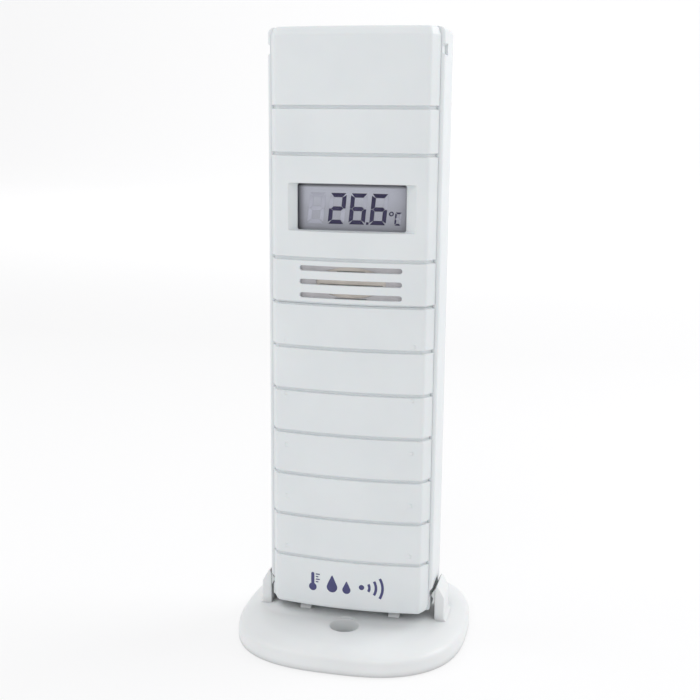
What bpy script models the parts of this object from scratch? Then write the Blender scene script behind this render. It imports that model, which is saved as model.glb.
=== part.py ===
"""A battery powered outdoor temperature and humidity sensor, standing in a clip-on round stand.

The frame's origin is the centre of the stand's foot, on the surface that it stands on. +X is to the right
and -Y to the front, the side with the display. Sizes are written in millimetres and turned into metres.
Heights above the module's bottom edge are called levels.
"""

import math

import bmesh
import bpy
from mathutils import Matrix, Vector

MM = 0.001

# The sensor module.
MODULE_HALF_WIDTH = 19.1 * MM
MODULE_HALF_DEPTH = 10.6 * MM
MODULE_HEIGHT = 128.8 * MM
MODULE_BOTTOM = 8.0 * MM
WALL = 1.6 * MM
GAP = 0.3 * MM

# The rear housing: its front rim is the seam that the front panels sit on.
RIM_Y = -6.24 * MM
BACK_CORNER_RADIUS = 6.0 * MM
END_EDGE_RADIUS = 0.9 * MM
BAY_TOP_LEVEL = 60.0 * MM
LATCH_FACE_TOP_LEVEL = 72.0 * MM
LATCH_FACE_BACK_Y = RIM_Y + 1.2 * MM

# The front panels: a slightly bowed face between two slanted sides.
PANEL_BACK_Y = RIM_Y - GAP
SEAM_HALF_WIDTH = 18.31 * MM
FACE_HALF_WIDTH = 16.73 * MM
FACE_EDGE_Y = -9.08 * MM
FACE_BOW = 1.52 * MM
FACE_EDGE_RADIUS = 1.0 * MM
GROOVE_FIRST_LEVEL = 12.0 * MM
GROOVE_PITCH = 9.775 * MM
GROOVES_BELOW_DISPLAY = 8
DISPLAY_PANEL_HEIGHT = 22.3 * MM
GROOVE_WIDTH = 0.8 * MM
GROOVE_FLOOR = 0.6 * MM
GROOVE_DEPTH = 0.5 * MM
PARTING_GROOVE = 6
PARTING_GAP = 0.4 * MM

# The display opening, its sloped sides and the vents.
DISPLAY_LEVEL = 91.4 * MM
OPENING_HALF_WIDTH = 11.9 * MM
OPENING_HALF_HEIGHT = 4.95 * MM
FUNNEL_BACK_Y = -8.1 * MM
FUNNEL_SLOPE = 0.95
VENT_LEVELS = [72.4 * MM, 75.35 * MM, 78.3 * MM]
VENT_HALF_WIDTH = 11.3 * MM
VENT_HEIGHT = 1.15 * MM

# The battery cover's hinge axis.
HINGE_RADIUS = 1.5 * MM
HINGE_Y = PANEL_BACK_Y - HINGE_RADIUS
HINGE_LEVEL = HINGE_RADIUS
FINGER_X = 6.0 * MM
FINGER_HALF_WIDTH = 1.5 * MM
HINGE_BEAD_RADIUS = 0.9 * MM

# The notches near both ends of the side rails, and the clip noses that enter the lower ones.
NOTCH_DEPTH = 0.8 * MM
NOTCH_BACK_Y = 1.4 * MM
NOTCH_OUTER = (2.3 * MM, 5.4 * MM)
NOTCH_INNER = (3.0 * MM, 4.6 * MM)
TOP_NOTCH_DROP = 0.7 * MM
RAIL_RELIEF_X = 18.5 * MM

# The stand is a rounded square that turns into an ellipse towards the flat of its top.
# Each ring: height, half width, half depth, and the power of its superellipse.
STAND_TOP = 5.0 * MM
STAND_RINGS = [
    (0.0 * MM, 26.3 * MM, 25.7 * MM, 2.7),
    (0.4 * MM, 26.6 * MM, 26.0 * MM, 2.7),
    (2.8 * MM, 26.5 * MM, 25.9 * MM, 2.7),
    (3.6 * MM, 26.1 * MM, 25.5 * MM, 2.65),
    (4.1 * MM, 25.5 * MM, 24.8 * MM, 2.6),
    (4.5 * MM, 24.6 * MM, 23.7 * MM, 2.5),
    (4.85 * MM, 23.4 * MM, 22.1 * MM, 2.35),
    (STAND_TOP, 22.5 * MM, 20.9 * MM, 2.2),
]
STAND_CAVITY_RINGS = [
    (-1.0 * MM, 24.4 * MM, 23.8 * MM, 2.7),
    (1.6 * MM, 24.4 * MM, 23.8 * MM, 2.7),
    (3.0 * MM, 21.4 * MM, 20.4 * MM, 2.4),
]
SCREW_HOLE_Y = 12.0 * MM
COUNTERBORE_RADIUS = 3.3 * MM
SCREW_HOLE_RADIUS = 1.9 * MM
COUNTERBORE_DEPTH = 3.2 * MM
SUPPORT_RIB_X = 10.45 * MM
SUPPORT_RIB_WIDTH = 2.3 * MM
SUPPORT_RIB_HALF_DEPTH = 7.24 * MM
SUPPORT_RIB_CHAMFER = 1.0 * MM
PLINTH_HALF_WIDTH = 16.5 * MM
PLINTH_HALF_DEPTH = 6.6 * MM
PLINTH_TOP = 7.0 * MM
CLIP_INNER_X = 19.5 * MM
CLIP_OUTER_X = 21.7 * MM
CLIP_NOSE_X = 18.65 * MM
CLIP_FRONT_Y = -4.74 * MM
CLIP_BACK_Y = 3.3 * MM
CLIP_NOSE_BACK_Y = 0.8 * MM
CLIP_NOSE_LEVEL = 3.1 * MM

# The two AA cells, side by side and in opposite directions.
CELL_RADIUS = 7.2 * MM
CELL_LENGTH = 50.5 * MM
CELL_X = 8.1 * MM
CELL_Y = 0.9 * MM
PLATE_THICKNESS = 0.4 * MM
LOWER_PLATE_LEVEL = 4.0 * MM
UPPER_PLATE_LEVEL = 59.3 * MM
SPRING_WIRE_RADIUS = 0.4 * MM

# The circuit board stands behind the display.
BOARD_FRONT_Y = -2.0 * MM
BOARD_THICKNESS = 1.6 * MM
BOARD_BACK_Y = BOARD_FRONT_Y + BOARD_THICKNESS
BOARD_SCREWS = [(-13.8 * MM, 115.0 * MM), (13.8 * MM, 115.0 * MM)]
BOARD_POSTS = BOARD_SCREWS + [(-13.8 * MM, 84.0 * MM), (13.8 * MM, 84.0 * MM)]
HOUSING_SCREWS = [(side * 14.0 * MM, at * MM) for at in (75.0, 124.0) for side in (-1, 1)]
BOSS_RADIUS = 2.9 * MM
BOSS_FRONT_Y = 0.6 * MM
SCREW_SEAT_Y = 6.0 * MM
SCREW_SEAT_RADIUS = 2.2 * MM

PARTS = "outdoor_sensor"
CUTTERS = "outdoor_sensor_cutters"


def clear_scene():
    for old in list(bpy.data.objects):
        bpy.data.objects.remove(old, do_unlink=True)


def make_collection(name, hidden):
    collection = bpy.data.collections.new(name)
    collection.hide_render = hidden
    bpy.context.scene.collection.children.link(collection)
    return collection


def make_material(name, colour, roughness, metallic=0.0, alpha=1.0):
    material = bpy.data.materials.new(name)
    material.use_nodes = True
    shader = material.node_tree.nodes["Principled BSDF"]
    shader.inputs["Base Color"].default_value = (*colour, 1.0)
    shader.inputs["Roughness"].default_value = roughness
    shader.inputs["Metallic"].default_value = metallic
    shader.inputs["Alpha"].default_value = alpha
    return material


def place(name, mesh):
    """A new object of a finished mesh, in the parts' collection."""
    thing = bpy.data.objects.new(name, mesh)
    bpy.data.collections[PARTS].objects.link(thing)
    return thing


def move_origin(thing, point):
    """Puts the object's origin at a point and leaves its shape where it is."""
    thing.data.transform(Matrix.Translation(-Vector(point)))
    thing.location = point


def box(name, low, high):
    """A box between two corners."""
    low, high = Vector(low), Vector(high)
    shape = bmesh.new()
    size = Matrix.Diagonal((*(high - low), 1.0))
    bmesh.ops.create_cube(shape, size=1.0, matrix=Matrix.Translation((low + high) / 2) @ size)
    return finished(name, shape)


def finished(name, shape):
    mesh = bpy.data.meshes.new(name)
    shape.to_mesh(mesh)
    shape.free()
    return place(name, mesh)


AXIS_TURNS = {
    "X": Matrix(((0, 0, 1, 0), (1, 0, 0, 0), (0, 1, 0, 0), (0, 0, 0, 1))),
    "Y": Matrix(((1, 0, 0, 0), (0, 0, -1, 0), (0, 1, 0, 0), (0, 0, 0, 1))),
    "Z": Matrix.Identity(4),
}


def rod(name, axis, at, start, end, radius, sides=24):
    """A cylinder along an axis. at gives its centre in the two other directions, in X, Y, Z order."""
    middle, length = (start + end) / 2, end - start
    centre = {"X": (middle, *at), "Y": (at[0], middle, at[1]), "Z": (*at, middle)}[axis]
    shape = bmesh.new()
    turn = Matrix.Translation(centre) @ AXIS_TURNS[axis]
    size = {"radius1": radius, "radius2": radius, "depth": length}
    bmesh.ops.create_cone(shape, cap_ends=True, segments=sides, matrix=turn, **size)
    return finished(name, shape)


def rounded(outline, radii, steps=5):
    """The outline with some corners rounded. radii maps a corner's index to its radius."""
    points = []
    for index, corner in enumerate(outline):
        here = Vector(corner)
        if index not in radii:
            points.append(tuple(here))
            continue
        to_last = (Vector(outline[index - 1]) - here).normalized()
        to_next = (Vector(outline[(index + 1) % len(outline)]) - here).normalized()
        half = to_last.angle(to_next) / 2
        centre = here + (to_last + to_next).normalized() * radii[index] / math.sin(half)
        start = here + to_last * radii[index] / math.tan(half) - centre
        end = here + to_next * radii[index] / math.tan(half) - centre
        sweep = start.angle(end)
        for step in range(steps + 1):
            turn = sweep * step / steps
            spoke = (start * math.sin(sweep - turn) + end * math.sin(turn)) / math.sin(sweep)
            points.append(tuple(centre + spoke))
    return points


def prism(name, outlines, axis, start, end):
    """Closed flat outlines, drawn in the two directions across an axis, extruded along it."""
    curve = bpy.data.curves.new(name, "CURVE")
    curve.dimensions = "2D"
    curve.fill_mode = "BOTH"
    curve.extrude = (end - start) / 2
    for outline in outlines:
        spline = curve.splines.new("POLY")
        spline.points.add(len(outline) - 1)
        for point, (across, up) in zip(spline.points, outline):
            point.co = (across, up, 0.0, 1.0)
        spline.use_cyclic_u = True
    drawn = place(name + "_outline", curve)
    sign = -1 if axis == "Y" else 1
    drawn.matrix_world = AXIS_TURNS[axis] @ Matrix.Translation((0, 0, sign * (start + end) / 2))
    return meshed(name, drawn)


def meshed(name, drawn):
    """The mesh of a curve object, with its caps welded. The curve is removed."""
    bpy.context.view_layer.update()
    evaluated = drawn.evaluated_get(bpy.context.evaluated_depsgraph_get())
    mesh = bpy.data.meshes.new_from_object(evaluated)
    mesh.transform(drawn.matrix_world)
    shape = bmesh.new()
    shape.from_mesh(mesh)
    bmesh.ops.remove_doubles(shape, verts=shape.verts, dist=0.0005 * MM)
    bmesh.ops.recalc_face_normals(shape, faces=shape.faces)
    shape.to_mesh(mesh)
    shape.free()
    bpy.data.objects.remove(drawn)
    mesh.name = name
    return place(name, mesh)


def tube(name, points, radius):
    """A round wire along points."""
    curve = bpy.data.curves.new(name, "CURVE")
    curve.dimensions = "3D"
    curve.bevel_depth = radius
    curve.bevel_resolution = 2
    curve.use_fill_caps = True
    spline = curve.splines.new("POLY")
    spline.points.add(len(points) - 1)
    for point, place_of in zip(spline.points, points):
        point.co = (*place_of, 1.0)
    return meshed(name, place(name + "_line", curve))


def smooth_path(corners, steps=5):
    """Points on a Catmull-Rom curve through the corners."""
    ends = [corners[0], *corners, corners[-1]]
    points = []
    for index in range(len(corners) - 1):
        a, b, c, d = (Vector(p) for p in ends[index : index + 4])
        second, third = 2 * a - 5 * b + 4 * c - d, 3 * b - a - 3 * c + d
        for step in range(steps):
            t = step / steps
            points.append((2 * b + (c - a) * t + second * t**2 + third * t**3) / 2)
    return [*points, Vector(corners[-1])]


def turned(name, profile, steps=28):
    """A turned solid about +Z. The profile at +X runs down its outer side."""
    mesh = bpy.data.meshes.new(name)
    edges = [(index, index + 1) for index in range(len(profile) - 1)]
    mesh.from_pydata([(radius, 0.0, height) for radius, height in profile], edges, [])
    thing = place(name, mesh)
    screw = thing.modifiers.new("turn", "SCREW")
    screw.steps = steps
    screw.render_steps = steps
    screw.use_merge_vertices = True
    screw.merge_threshold = 0.001 * MM
    return thing


def loft(name, rings):
    """A solid through rings of equal point counts, for sections that differ from each other."""
    shape = bmesh.new()
    rows = [[shape.verts.new(point) for point in ring] for ring in rings]
    for lower, upper in zip(rows, rows[1:]):
        for index in range(len(lower)):
            after = (index + 1) % len(lower)
            shape.faces.new((lower[index], lower[after], upper[after], upper[index]))
    shape.faces.new(rows[0])
    shape.faces.new(rows[-1])
    bmesh.ops.recalc_face_normals(shape, faces=shape.faces)
    return finished(name, shape)


def combine(target, others, operation):
    """Cuts the others from the target, or joins them to it, and files them with the cutters."""
    for other in others:
        bpy.data.collections[PARTS].objects.unlink(other)
        bpy.data.collections[CUTTERS].objects.link(other)
        other.hide_render = True
        other.display_type = "WIRE"
        step = target.modifiers.new(other.name, "BOOLEAN")
        step.operation = operation
        step.object = other


def cut(target, *cutters):
    combine(target, cutters, "DIFFERENCE")


def join(target, *pieces):
    combine(target, pieces, "UNION")


def level(height):
    """The height above the foot of a height above the module's bottom edge."""
    return MODULE_BOTTOM + height


# ---------------------------------------------------------------- stand


def superellipse(height, half_width, half_depth, power, steps=80):
    """A level ring of points, between an ellipse (power 2) and a rectangle in its shape."""
    ring = []
    for step in range(steps):
        turn = 2 * math.pi * step / steps
        across, along = math.cos(turn), math.sin(turn)
        x = half_width * math.copysign(abs(across) ** (2 / power), across)
        y = half_depth * math.copysign(abs(along) ** (2 / power), along)
        ring.append((x, y, height))
    return ring


def clip_outline(side):
    """The section of one clip, seen from the front: a post with a nose and a lead-in slope."""
    nose = level(CLIP_NOSE_LEVEL)
    half_nose = 1.5 * MM
    points = [
        (CLIP_INNER_X, 3.6 * MM),
        (CLIP_OUTER_X, 3.6 * MM),
        (CLIP_OUTER_X, level(2.6 * MM)),
        (CLIP_OUTER_X - 1.4 * MM, level(5.1 * MM)),
        (CLIP_INNER_X + 0.4 * MM, level(5.4 * MM)),
        (CLIP_INNER_X, nose + half_nose),
    ]
    return [(side * x, z) for x, z in points]


def nose_outline(side):
    nose = level(CLIP_NOSE_LEVEL)
    half_nose = 1.5 * MM
    points = [
        (CLIP_INNER_X + 0.5 * MM, nose - half_nose),
        (CLIP_INNER_X, nose - half_nose),
        (CLIP_NOSE_X, nose),
        (CLIP_INNER_X, nose + half_nose),
        (CLIP_INNER_X + 0.5 * MM, nose + half_nose),
    ]
    return [(side * x, z) for x, z in points]


def rib_outline():
    """A support rib from the side, chamfered where the open cover's lower edge passes."""
    low, high = STAND_TOP - 0.5 * MM, MODULE_BOTTOM - GAP
    end, flat = SUPPORT_RIB_HALF_DEPTH, SUPPORT_RIB_HALF_DEPTH - SUPPORT_RIB_CHAMFER
    shoulder = high - SUPPORT_RIB_CHAMFER
    return [(-end, low), (end, low), (end, shoulder), (flat, high), (-flat, high), (-end, shoulder)]


def build_plinth():
    """The raised, hollow middle of the foot, below the sensor."""
    width, depth = PLINTH_HALF_WIDTH, PLINTH_HALF_DEPTH
    plinth = box("plinth", (-width, -depth, STAND_TOP - 0.8 * MM), (width, depth, PLINTH_TOP))
    room = box(
        "plinth_room",
        (WALL - width, WALL - depth, 2.0 * MM),
        (width - WALL, depth - WALL, PLINTH_TOP - WALL),
    )
    return plinth, room


def build_stand():
    base = loft("stand_base", [superellipse(*ring) for ring in STAND_RINGS])
    cavity = loft("stand_cavity", [superellipse(*ring) for ring in STAND_CAVITY_RINGS])
    plinth, room = build_plinth()
    cut(base, cavity)
    join(base, plinth)
    cut(base, room)
    rib_half = SUPPORT_RIB_WIDTH / 2
    for side, word in ((-1, "left"), (1, "right")):
        x = side * SUPPORT_RIB_X
        rib = prism(f"support_rib_{word}", [rib_outline()], "X", x - rib_half, x + rib_half)
        post = prism(f"clip_post_{word}", [clip_outline(side)], "Y", CLIP_FRONT_Y, CLIP_BACK_Y)
        nose = prism(
            f"clip_nose_{word}", [nose_outline(side)], "Y", CLIP_FRONT_Y + 0.01 * MM, CLIP_NOSE_BACK_Y
        )
        join(base, rib, post, nose)
    for side, word in ((-1, "front"), (1, "rear")):
        y = side * SCREW_HOLE_Y
        seat = STAND_TOP - COUNTERBORE_DEPTH
        boss = rod(f"screw_boss_{word}", "Z", (0.0, y), 0.0, STAND_TOP - 1.0 * MM, 5.0 * MM)
        join(base, boss)
        wide = rod(f"screw_seat_{word}", "Z", (0.0, y), seat, STAND_TOP + 1.0 * MM, COUNTERBORE_RADIUS)
        hole = rod(f"screw_hole_{word}", "Z", (0.0, y), -1.0 * MM, STAND_TOP, SCREW_HOLE_RADIUS)
        cut(base, wide, hole)
    return base


# ---------------------------------------------------------------- front panels


def face_y(x, inset=0.0):
    """How far forward the bowed face stands at a place across the panel."""
    return FACE_EDGE_Y - FACE_BOW * (1 - (x / FACE_HALF_WIDTH) ** 2) + inset


def panel_outline(inset, back_y):
    """The panel's section seen from above, set in from the outer surface by a wall or a groove."""
    run = SEAM_HALF_WIDTH - FACE_HALF_WIDTH
    rise = RIM_Y - FACE_EDGE_Y
    sideways = inset * math.hypot(run, rise) / rise
    seam = SEAM_HALF_WIDTH - sideways + run / rise * (back_y - RIM_Y)
    corner = FACE_HALF_WIDTH - sideways + run / rise * inset
    spans = 12
    front = [
        (corner * (1 - 2 * step / spans), face_y(corner * (1 - 2 * step / spans), inset))
        for step in range(spans + 1)
    ]
    outline = [(seam, back_y), *front, (-seam, back_y)]
    return rounded(outline, {1: FACE_EDGE_RADIUS, spans + 1: FACE_EDGE_RADIUS}, steps=3)


def groove_levels():
    lower = [GROOVE_FIRST_LEVEL + GROOVE_PITCH * step for step in range(GROOVES_BELOW_DISPLAY)]
    above = lower[-1] + DISPLAY_PANEL_HEIGHT
    return [*lower, above, above + GROOVE_PITCH]


def grooved_panel(name, low, high, ends):
    """The outer solid of a panel with its grooves. ends lists (level, inset) for its rounded ends."""
    floor, mouth = GROOVE_FLOOR / 2, GROOVE_WIDTH / 2
    edges = [(-mouth, 0.0), (-floor, GROOVE_DEPTH), (floor, GROOVE_DEPTH), (mouth, 0.0)]
    stations = [
        (groove + offset, inset)
        for groove in groove_levels()
        for offset, inset in edges
        if low < groove + offset < high
    ]
    rings = [
        [(x, y, level(at)) for x, y in panel_outline(inset, PANEL_BACK_Y)]
        for at, inset in sorted(stations + ends)
    ]
    return loft(name, rings)


def parting_level():
    return groove_levels()[PARTING_GROOVE]


def funnel_cutter():
    """Cuts the display opening: sloping side faces, and nearly straight upper and lower ones."""
    front_y = -12.0 * MM
    back_y = FUNNEL_BACK_Y + 0.5 * MM
    rings = []
    for y in (front_y, back_y):
        half_width = OPENING_HALF_WIDTH + FUNNEL_SLOPE * (FUNNEL_BACK_Y - y)
        half_height = OPENING_HALF_HEIGHT + 0.08 * (FUNNEL_BACK_Y - y)
        low, high = level(DISPLAY_LEVEL - half_height), level(DISPLAY_LEVEL + half_height)
        rings.append(
            [(-half_width, y, low), (half_width, y, low), (half_width, y, high), (-half_width, y, high)]
        )
    return loft("display_funnel", rings)


def vent_cutter(index, middle):
    """A slot with round ends."""
    high, low = level(middle + VENT_HEIGHT / 2), level(middle - VENT_HEIGHT / 2)
    corners = [
        (VENT_HALF_WIDTH, low),
        (VENT_HALF_WIDTH, high),
        (-VENT_HALF_WIDTH, high),
        (-VENT_HALF_WIDTH, low),
    ]
    radius = 0.49 * VENT_HEIGHT
    slot = rounded(corners, {0: radius, 1: radius, 2: radius, 3: radius}, steps=4)
    return prism(f"vent_slot_{index}", [slot], "Y", -12.0 * MM, -7.2 * MM)


def build_front_shell():
    low = parting_level() + PARTING_GAP / 2
    top = MODULE_HEIGHT
    ends = [
        (low, GROOVE_DEPTH),
        (top - 1.3 * MM, 0.0),
        (top - 0.6 * MM, 0.25 * MM),
        (top, 1.0 * MM),
    ]
    shell = grooved_panel("front_shell", low, top - 1.5 * MM, ends)
    inside = panel_outline(WALL, -5.0 * MM)
    cut(shell, prism("front_shell_room", [inside], "Z", level(60.0 * MM), level(top - WALL)))
    half_height = OPENING_HALF_HEIGHT + 1.5 * MM
    surround = box(
        "display_surround",
        (-15.0 * MM, -9.0 * MM, level(DISPLAY_LEVEL - half_height)),
        (15.0 * MM, FUNNEL_BACK_Y, level(DISPLAY_LEVEL + half_height)),
    )
    posts = [
        rod(f"front_post_{number}", "Y", (x, level(z)), -8.6 * MM, BOSS_FRONT_Y - GAP, 2.2 * MM, 16)
        for number, (x, z) in enumerate(HOUSING_SCREWS, 1)
    ]
    join(shell, surround, *posts)
    pilots = [
        rod(f"front_pilot_{number}", "Y", (x, level(z)), -5.2 * MM, 1.0 * MM, 1.25 * MM, 12)
        for number, (x, z) in enumerate(HOUSING_SCREWS, 1)
    ]
    vents = [vent_cutter(index, middle) for index, middle in enumerate(VENT_LEVELS, 1)]
    cut(shell, funnel_cutter(), *vents, *pilots)
    return shell


def hinge_edge_cutter():
    """Rounds the cover's lower rear edge about the hinge axis, so that it clears the rim as it tilts."""
    arc = [
        (
            HINGE_Y + HINGE_RADIUS * math.cos(turn),
            level(HINGE_LEVEL) + HINGE_RADIUS * math.sin(turn),
        )
        for turn in (math.radians(-18 * step) for step in range(6))
    ]
    out = 0.5 * MM
    corner = [
        (HINGE_Y, level(0.0) - out),
        (PANEL_BACK_Y + out, level(0.0) - out),
        (PANEL_BACK_Y + out, level(HINGE_LEVEL)),
    ]
    return prism("hinge_edge", [[*arc, *corner]], "X", -20.0 * MM, 20.0 * MM)


def build_battery_cover():
    top = parting_level() - PARTING_GAP / 2
    ends = [(0.0, 0.3 * MM), (0.1 * MM, 0.1 * MM), (0.35 * MM, 0.0), (top, GROOVE_DEPTH)]
    cover = grooved_panel("battery_cover", 1.0 * MM, top, ends)
    inside = panel_outline(WALL, -5.0 * MM)
    room = prism("battery_cover_room", [inside], "Z", level(WALL), level(top - WALL))
    slots = []
    for side, word in ((-1, "left"), (1, "right")):
        x = side * FINGER_X
        half = FINGER_HALF_WIDTH + GAP
        slots.append(
            box(
                f"finger_slot_{word}",
                (x - half, HINGE_Y - HINGE_BEAD_RADIUS - GAP, level(-1.0 * MM)),
                (x + half, PANEL_BACK_Y + 1.0 * MM, level(HINGE_LEVEL + HINGE_BEAD_RADIUS + GAP)),
            )
        )
    tongue = box(
        "latch_tongue",
        (-4.0 * MM, PANEL_BACK_Y - 0.8 * MM, level(top - 1.4 * MM)),
        (4.0 * MM, -4.3 * MM, level(top - 0.3 * MM)),
    )
    cut(cover, room, hinge_edge_cutter(), *slots)
    join(cover, tongue)
    move_origin(cover, (0.0, HINGE_Y, level(HINGE_LEVEL)))
    return cover


# ---------------------------------------------------------------- rear housing


def housing_outline(inset, front_y):
    half_width, back_y = MODULE_HALF_WIDTH - inset, MODULE_HALF_DEPTH - inset
    radius = BACK_CORNER_RADIUS - inset
    corners = [(half_width, front_y), (half_width, back_y), (-half_width, back_y), (-half_width, front_y)]
    return rounded(corners, {1: radius, 2: radius}, steps=6)


def housing_block():
    """The outer solid of the rear housing, with rounded upper and lower edges."""
    edge = END_EDGE_RADIUS
    stations = [(0.0, edge * 0.8), (edge * 0.25, edge * 0.25), (edge, 0.0)]
    stations += [(MODULE_HEIGHT - at, inset) for at, inset in reversed(stations)]
    rings = [[(x, y, level(at)) for x, y in housing_outline(inset, RIM_Y)] for at, inset in stations]
    return loft("rear_shell", rings)


def notch_cutter(word, side, from_top):
    """A notch in a side rail, near one end of the housing."""
    out_x, in_x = MODULE_HALF_WIDTH + 0.5 * MM, MODULE_HALF_WIDTH - NOTCH_DEPTH
    flare = 0.5 * MM
    levels = [NOTCH_OUTER[0] - flare, NOTCH_INNER[0], NOTCH_INNER[1], NOTCH_OUTER[1] + flare]
    if from_top:
        levels = [MODULE_HEIGHT - TOP_NOTCH_DROP - at for at in levels]
    outline = [(side * x, level(at)) for x, at in zip((out_x, in_x, in_x, out_x), levels)]
    return prism(f"notch_{word}", [outline], "Y", RIM_Y - 1.0 * MM, NOTCH_BACK_Y)


def rail_relief(word, side):
    """Trims the rail below the lower notch, so that the module lifts past the clip's nose."""
    return box(
        f"rail_relief_{word}",
        (min(side * RAIL_RELIEF_X, side * 21.0 * MM), RIM_Y - 1.0 * MM, level(-1.0 * MM)),
        (max(side * RAIL_RELIEF_X, side * 21.0 * MM), NOTCH_BACK_Y, level(NOTCH_INNER[0])),
    )


def housing_additions():
    """Walls, bosses and posts inside the rear housing."""
    inner = MODULE_HALF_WIDTH - WALL + 0.1 * MM
    back = MODULE_HALF_DEPTH - WALL + 0.3 * MM
    wall_outline = housing_outline(WALL - 0.2 * MM, RIM_Y + 0.01 * MM)
    pieces = [
        prism(
            "bay_top_wall", [wall_outline], "Z", level(BAY_TOP_LEVEL), level(BAY_TOP_LEVEL + 1.4 * MM)
        ),
        box(
            "latch_face",
            (-inner, RIM_Y + 0.02 * MM, level(BAY_TOP_LEVEL + 0.5 * MM)),
            (inner, LATCH_FACE_BACK_Y, level(LATCH_FACE_TOP_LEVEL)),
        ),
        box(
            "contact_pedestal",
            (-14.5 * MM, -4.0 * MM, level(1.0 * MM)),
            (14.5 * MM, back, level(LOWER_PLATE_LEVEL - PLATE_THICKNESS - GAP)),
        ),
        box(
            "cell_divider", (-0.5 * MM, 3.0 * MM, level(12.0 * MM)), (0.5 * MM, back, level(52.0 * MM))
        ),
    ]
    boss_back = MODULE_HALF_DEPTH - WALL + 0.05 * MM
    for number, (x, z) in enumerate(HOUSING_SCREWS, 1):
        at = (x, level(z))
        pieces.append(rod(f"housing_boss_{number}", "Y", at, BOSS_FRONT_Y, boss_back, BOSS_RADIUS, 20))
    for number, (x, z) in enumerate(BOARD_POSTS, 1):
        at = (x, level(z))
        pieces.append(rod(f"board_post_{number}", "Y", at, BOARD_BACK_Y + GAP, back, 2.2 * MM, 16))
    for side, word in ((-1, "left"), (1, "right")):
        x = side * FINGER_X
        half = FINGER_HALF_WIDTH
        pieces.append(
            box(
                f"hinge_finger_{word}",
                (x - half + 0.01 * MM, HINGE_Y, level(0.75 * MM)),
                (x + half - 0.01 * MM, -5.5 * MM, level(1.45 * MM)),
            )
        )
        bead_at = (HINGE_Y, level(HINGE_LEVEL))
        pieces.append(rod(f"hinge_bead_{word}", "X", bead_at, x - half, x + half, HINGE_BEAD_RADIUS, 16))
    return pieces


def housing_cutters():
    """Screw holes, latch slot, wire holes, notches and the label's recess."""
    cutters = []
    for number, (x, z) in enumerate(HOUSING_SCREWS, 1):
        at, out = (x, level(z)), 12.0 * MM
        cutters.append(rod(f"housing_seat_{number}", "Y", at, SCREW_SEAT_Y, out, SCREW_SEAT_RADIUS, 20))
        cutters.append(rod(f"housing_hole_{number}", "Y", at, -1.0 * MM, 8.0 * MM, 1.35 * MM, 12))
    for number, (x, z) in enumerate(BOARD_SCREWS, 1):
        cutters.append(
            rod(f"board_pilot_{number}", "Y", (x, level(z)), -1.5 * MM, 6.0 * MM, 1.15 * MM, 12)
        )
    cutters.append(
        box(
            "latch_slot",
            (-4.4 * MM, RIM_Y - 1.0 * MM, level(68.65 * MM)),
            (4.4 * MM, -4.0 * MM, level(70.6 * MM)),
        )
    )
    for side, word in ((-1, "left"), (1, "right")):
        cutters.append(
            box(
                f"tab_slot_{word}",
                (side * CELL_X - 2.0 * MM, 3.6 * MM, level(BAY_TOP_LEVEL - 1.0 * MM)),
                (side * CELL_X + 2.0 * MM, 5.4 * MM, level(BAY_TOP_LEVEL + 3.0 * MM)),
            )
        )
        cutters.append(notch_cutter(f"lower_{word}", side, False))
        cutters.append(notch_cutter(f"upper_{word}", side, True))
        cutters.append(rail_relief(word, side))
    cutters.append(
        box(
            "label_recess",
            (-12.3 * MM, MODULE_HALF_DEPTH - 0.4 * MM, level(19.7 * MM)),
            (12.3 * MM, MODULE_HALF_DEPTH + 1.0 * MM, level(60.3 * MM)),
        )
    )
    return cutters


def build_rear_shell():
    shell = housing_block()
    inside = housing_outline(WALL, RIM_Y - 1.0 * MM)
    cut(shell, prism("rear_shell_room", [inside], "Z", level(WALL), level(MODULE_HEIGHT - WALL)))
    join(shell, *housing_additions())
    cut(shell, *housing_cutters())
    return shell


def build_rating_label():
    back = MODULE_HALF_DEPTH
    low = (-12.0 * MM, back - 0.3 * MM, level(20.0 * MM))
    high = (12.0 * MM, back - 0.1 * MM, level(60.0 * MM))
    return box("rating_label", low, high)


# ---------------------------------------------------------------- display


def plate(name, half_width, low, high, front_y, back_y):
    """A flat piece that stands parallel to the front."""
    return box(name, (-half_width, front_y, level(low)), (half_width, back_y, level(high)))


def build_display():
    low, high = DISPLAY_LEVEL - 6.5 * MM, DISPLAY_LEVEL + 6.7 * MM
    window = plate("display_window", 13.2 * MM, low, high, -7.85 * MM, -7.35 * MM)
    front_glass = plate("lcd_front_glass", 12.8 * MM, low, high, -7.15 * MM, -6.55 * MM)
    rear_glass = plate("lcd_rear_glass", 12.8 * MM, low + 2.2 * MM, high, -6.45 * MM, -5.85 * MM)
    reflector = plate("lcd_reflector", 12.6 * MM, low + 2.3 * MM, high - 0.1 * MM, -5.75 * MM, -5.55 * MM)
    strip = plate("lcd_connector_strip", 12.0 * MM, low + 0.2 * MM, low + 1.8 * MM, -6.25 * MM, -2.3 * MM)
    outer, inner, deep = 15.0 * MM, 13.1 * MM, -7.15 * MM
    frame = plate("lcd_frame", outer, low - 1.8 * MM, high + 1.8 * MM, deep, BOARD_FRONT_Y - GAP)
    cut(frame, plate("lcd_frame_room", inner, low - 0.3 * MM, high + 0.3 * MM, deep - 1.0 * MM, 0.0))
    return window, frame, front_glass, rear_glass, reflector, strip


# ---------------------------------------------------------------- electronics


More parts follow.
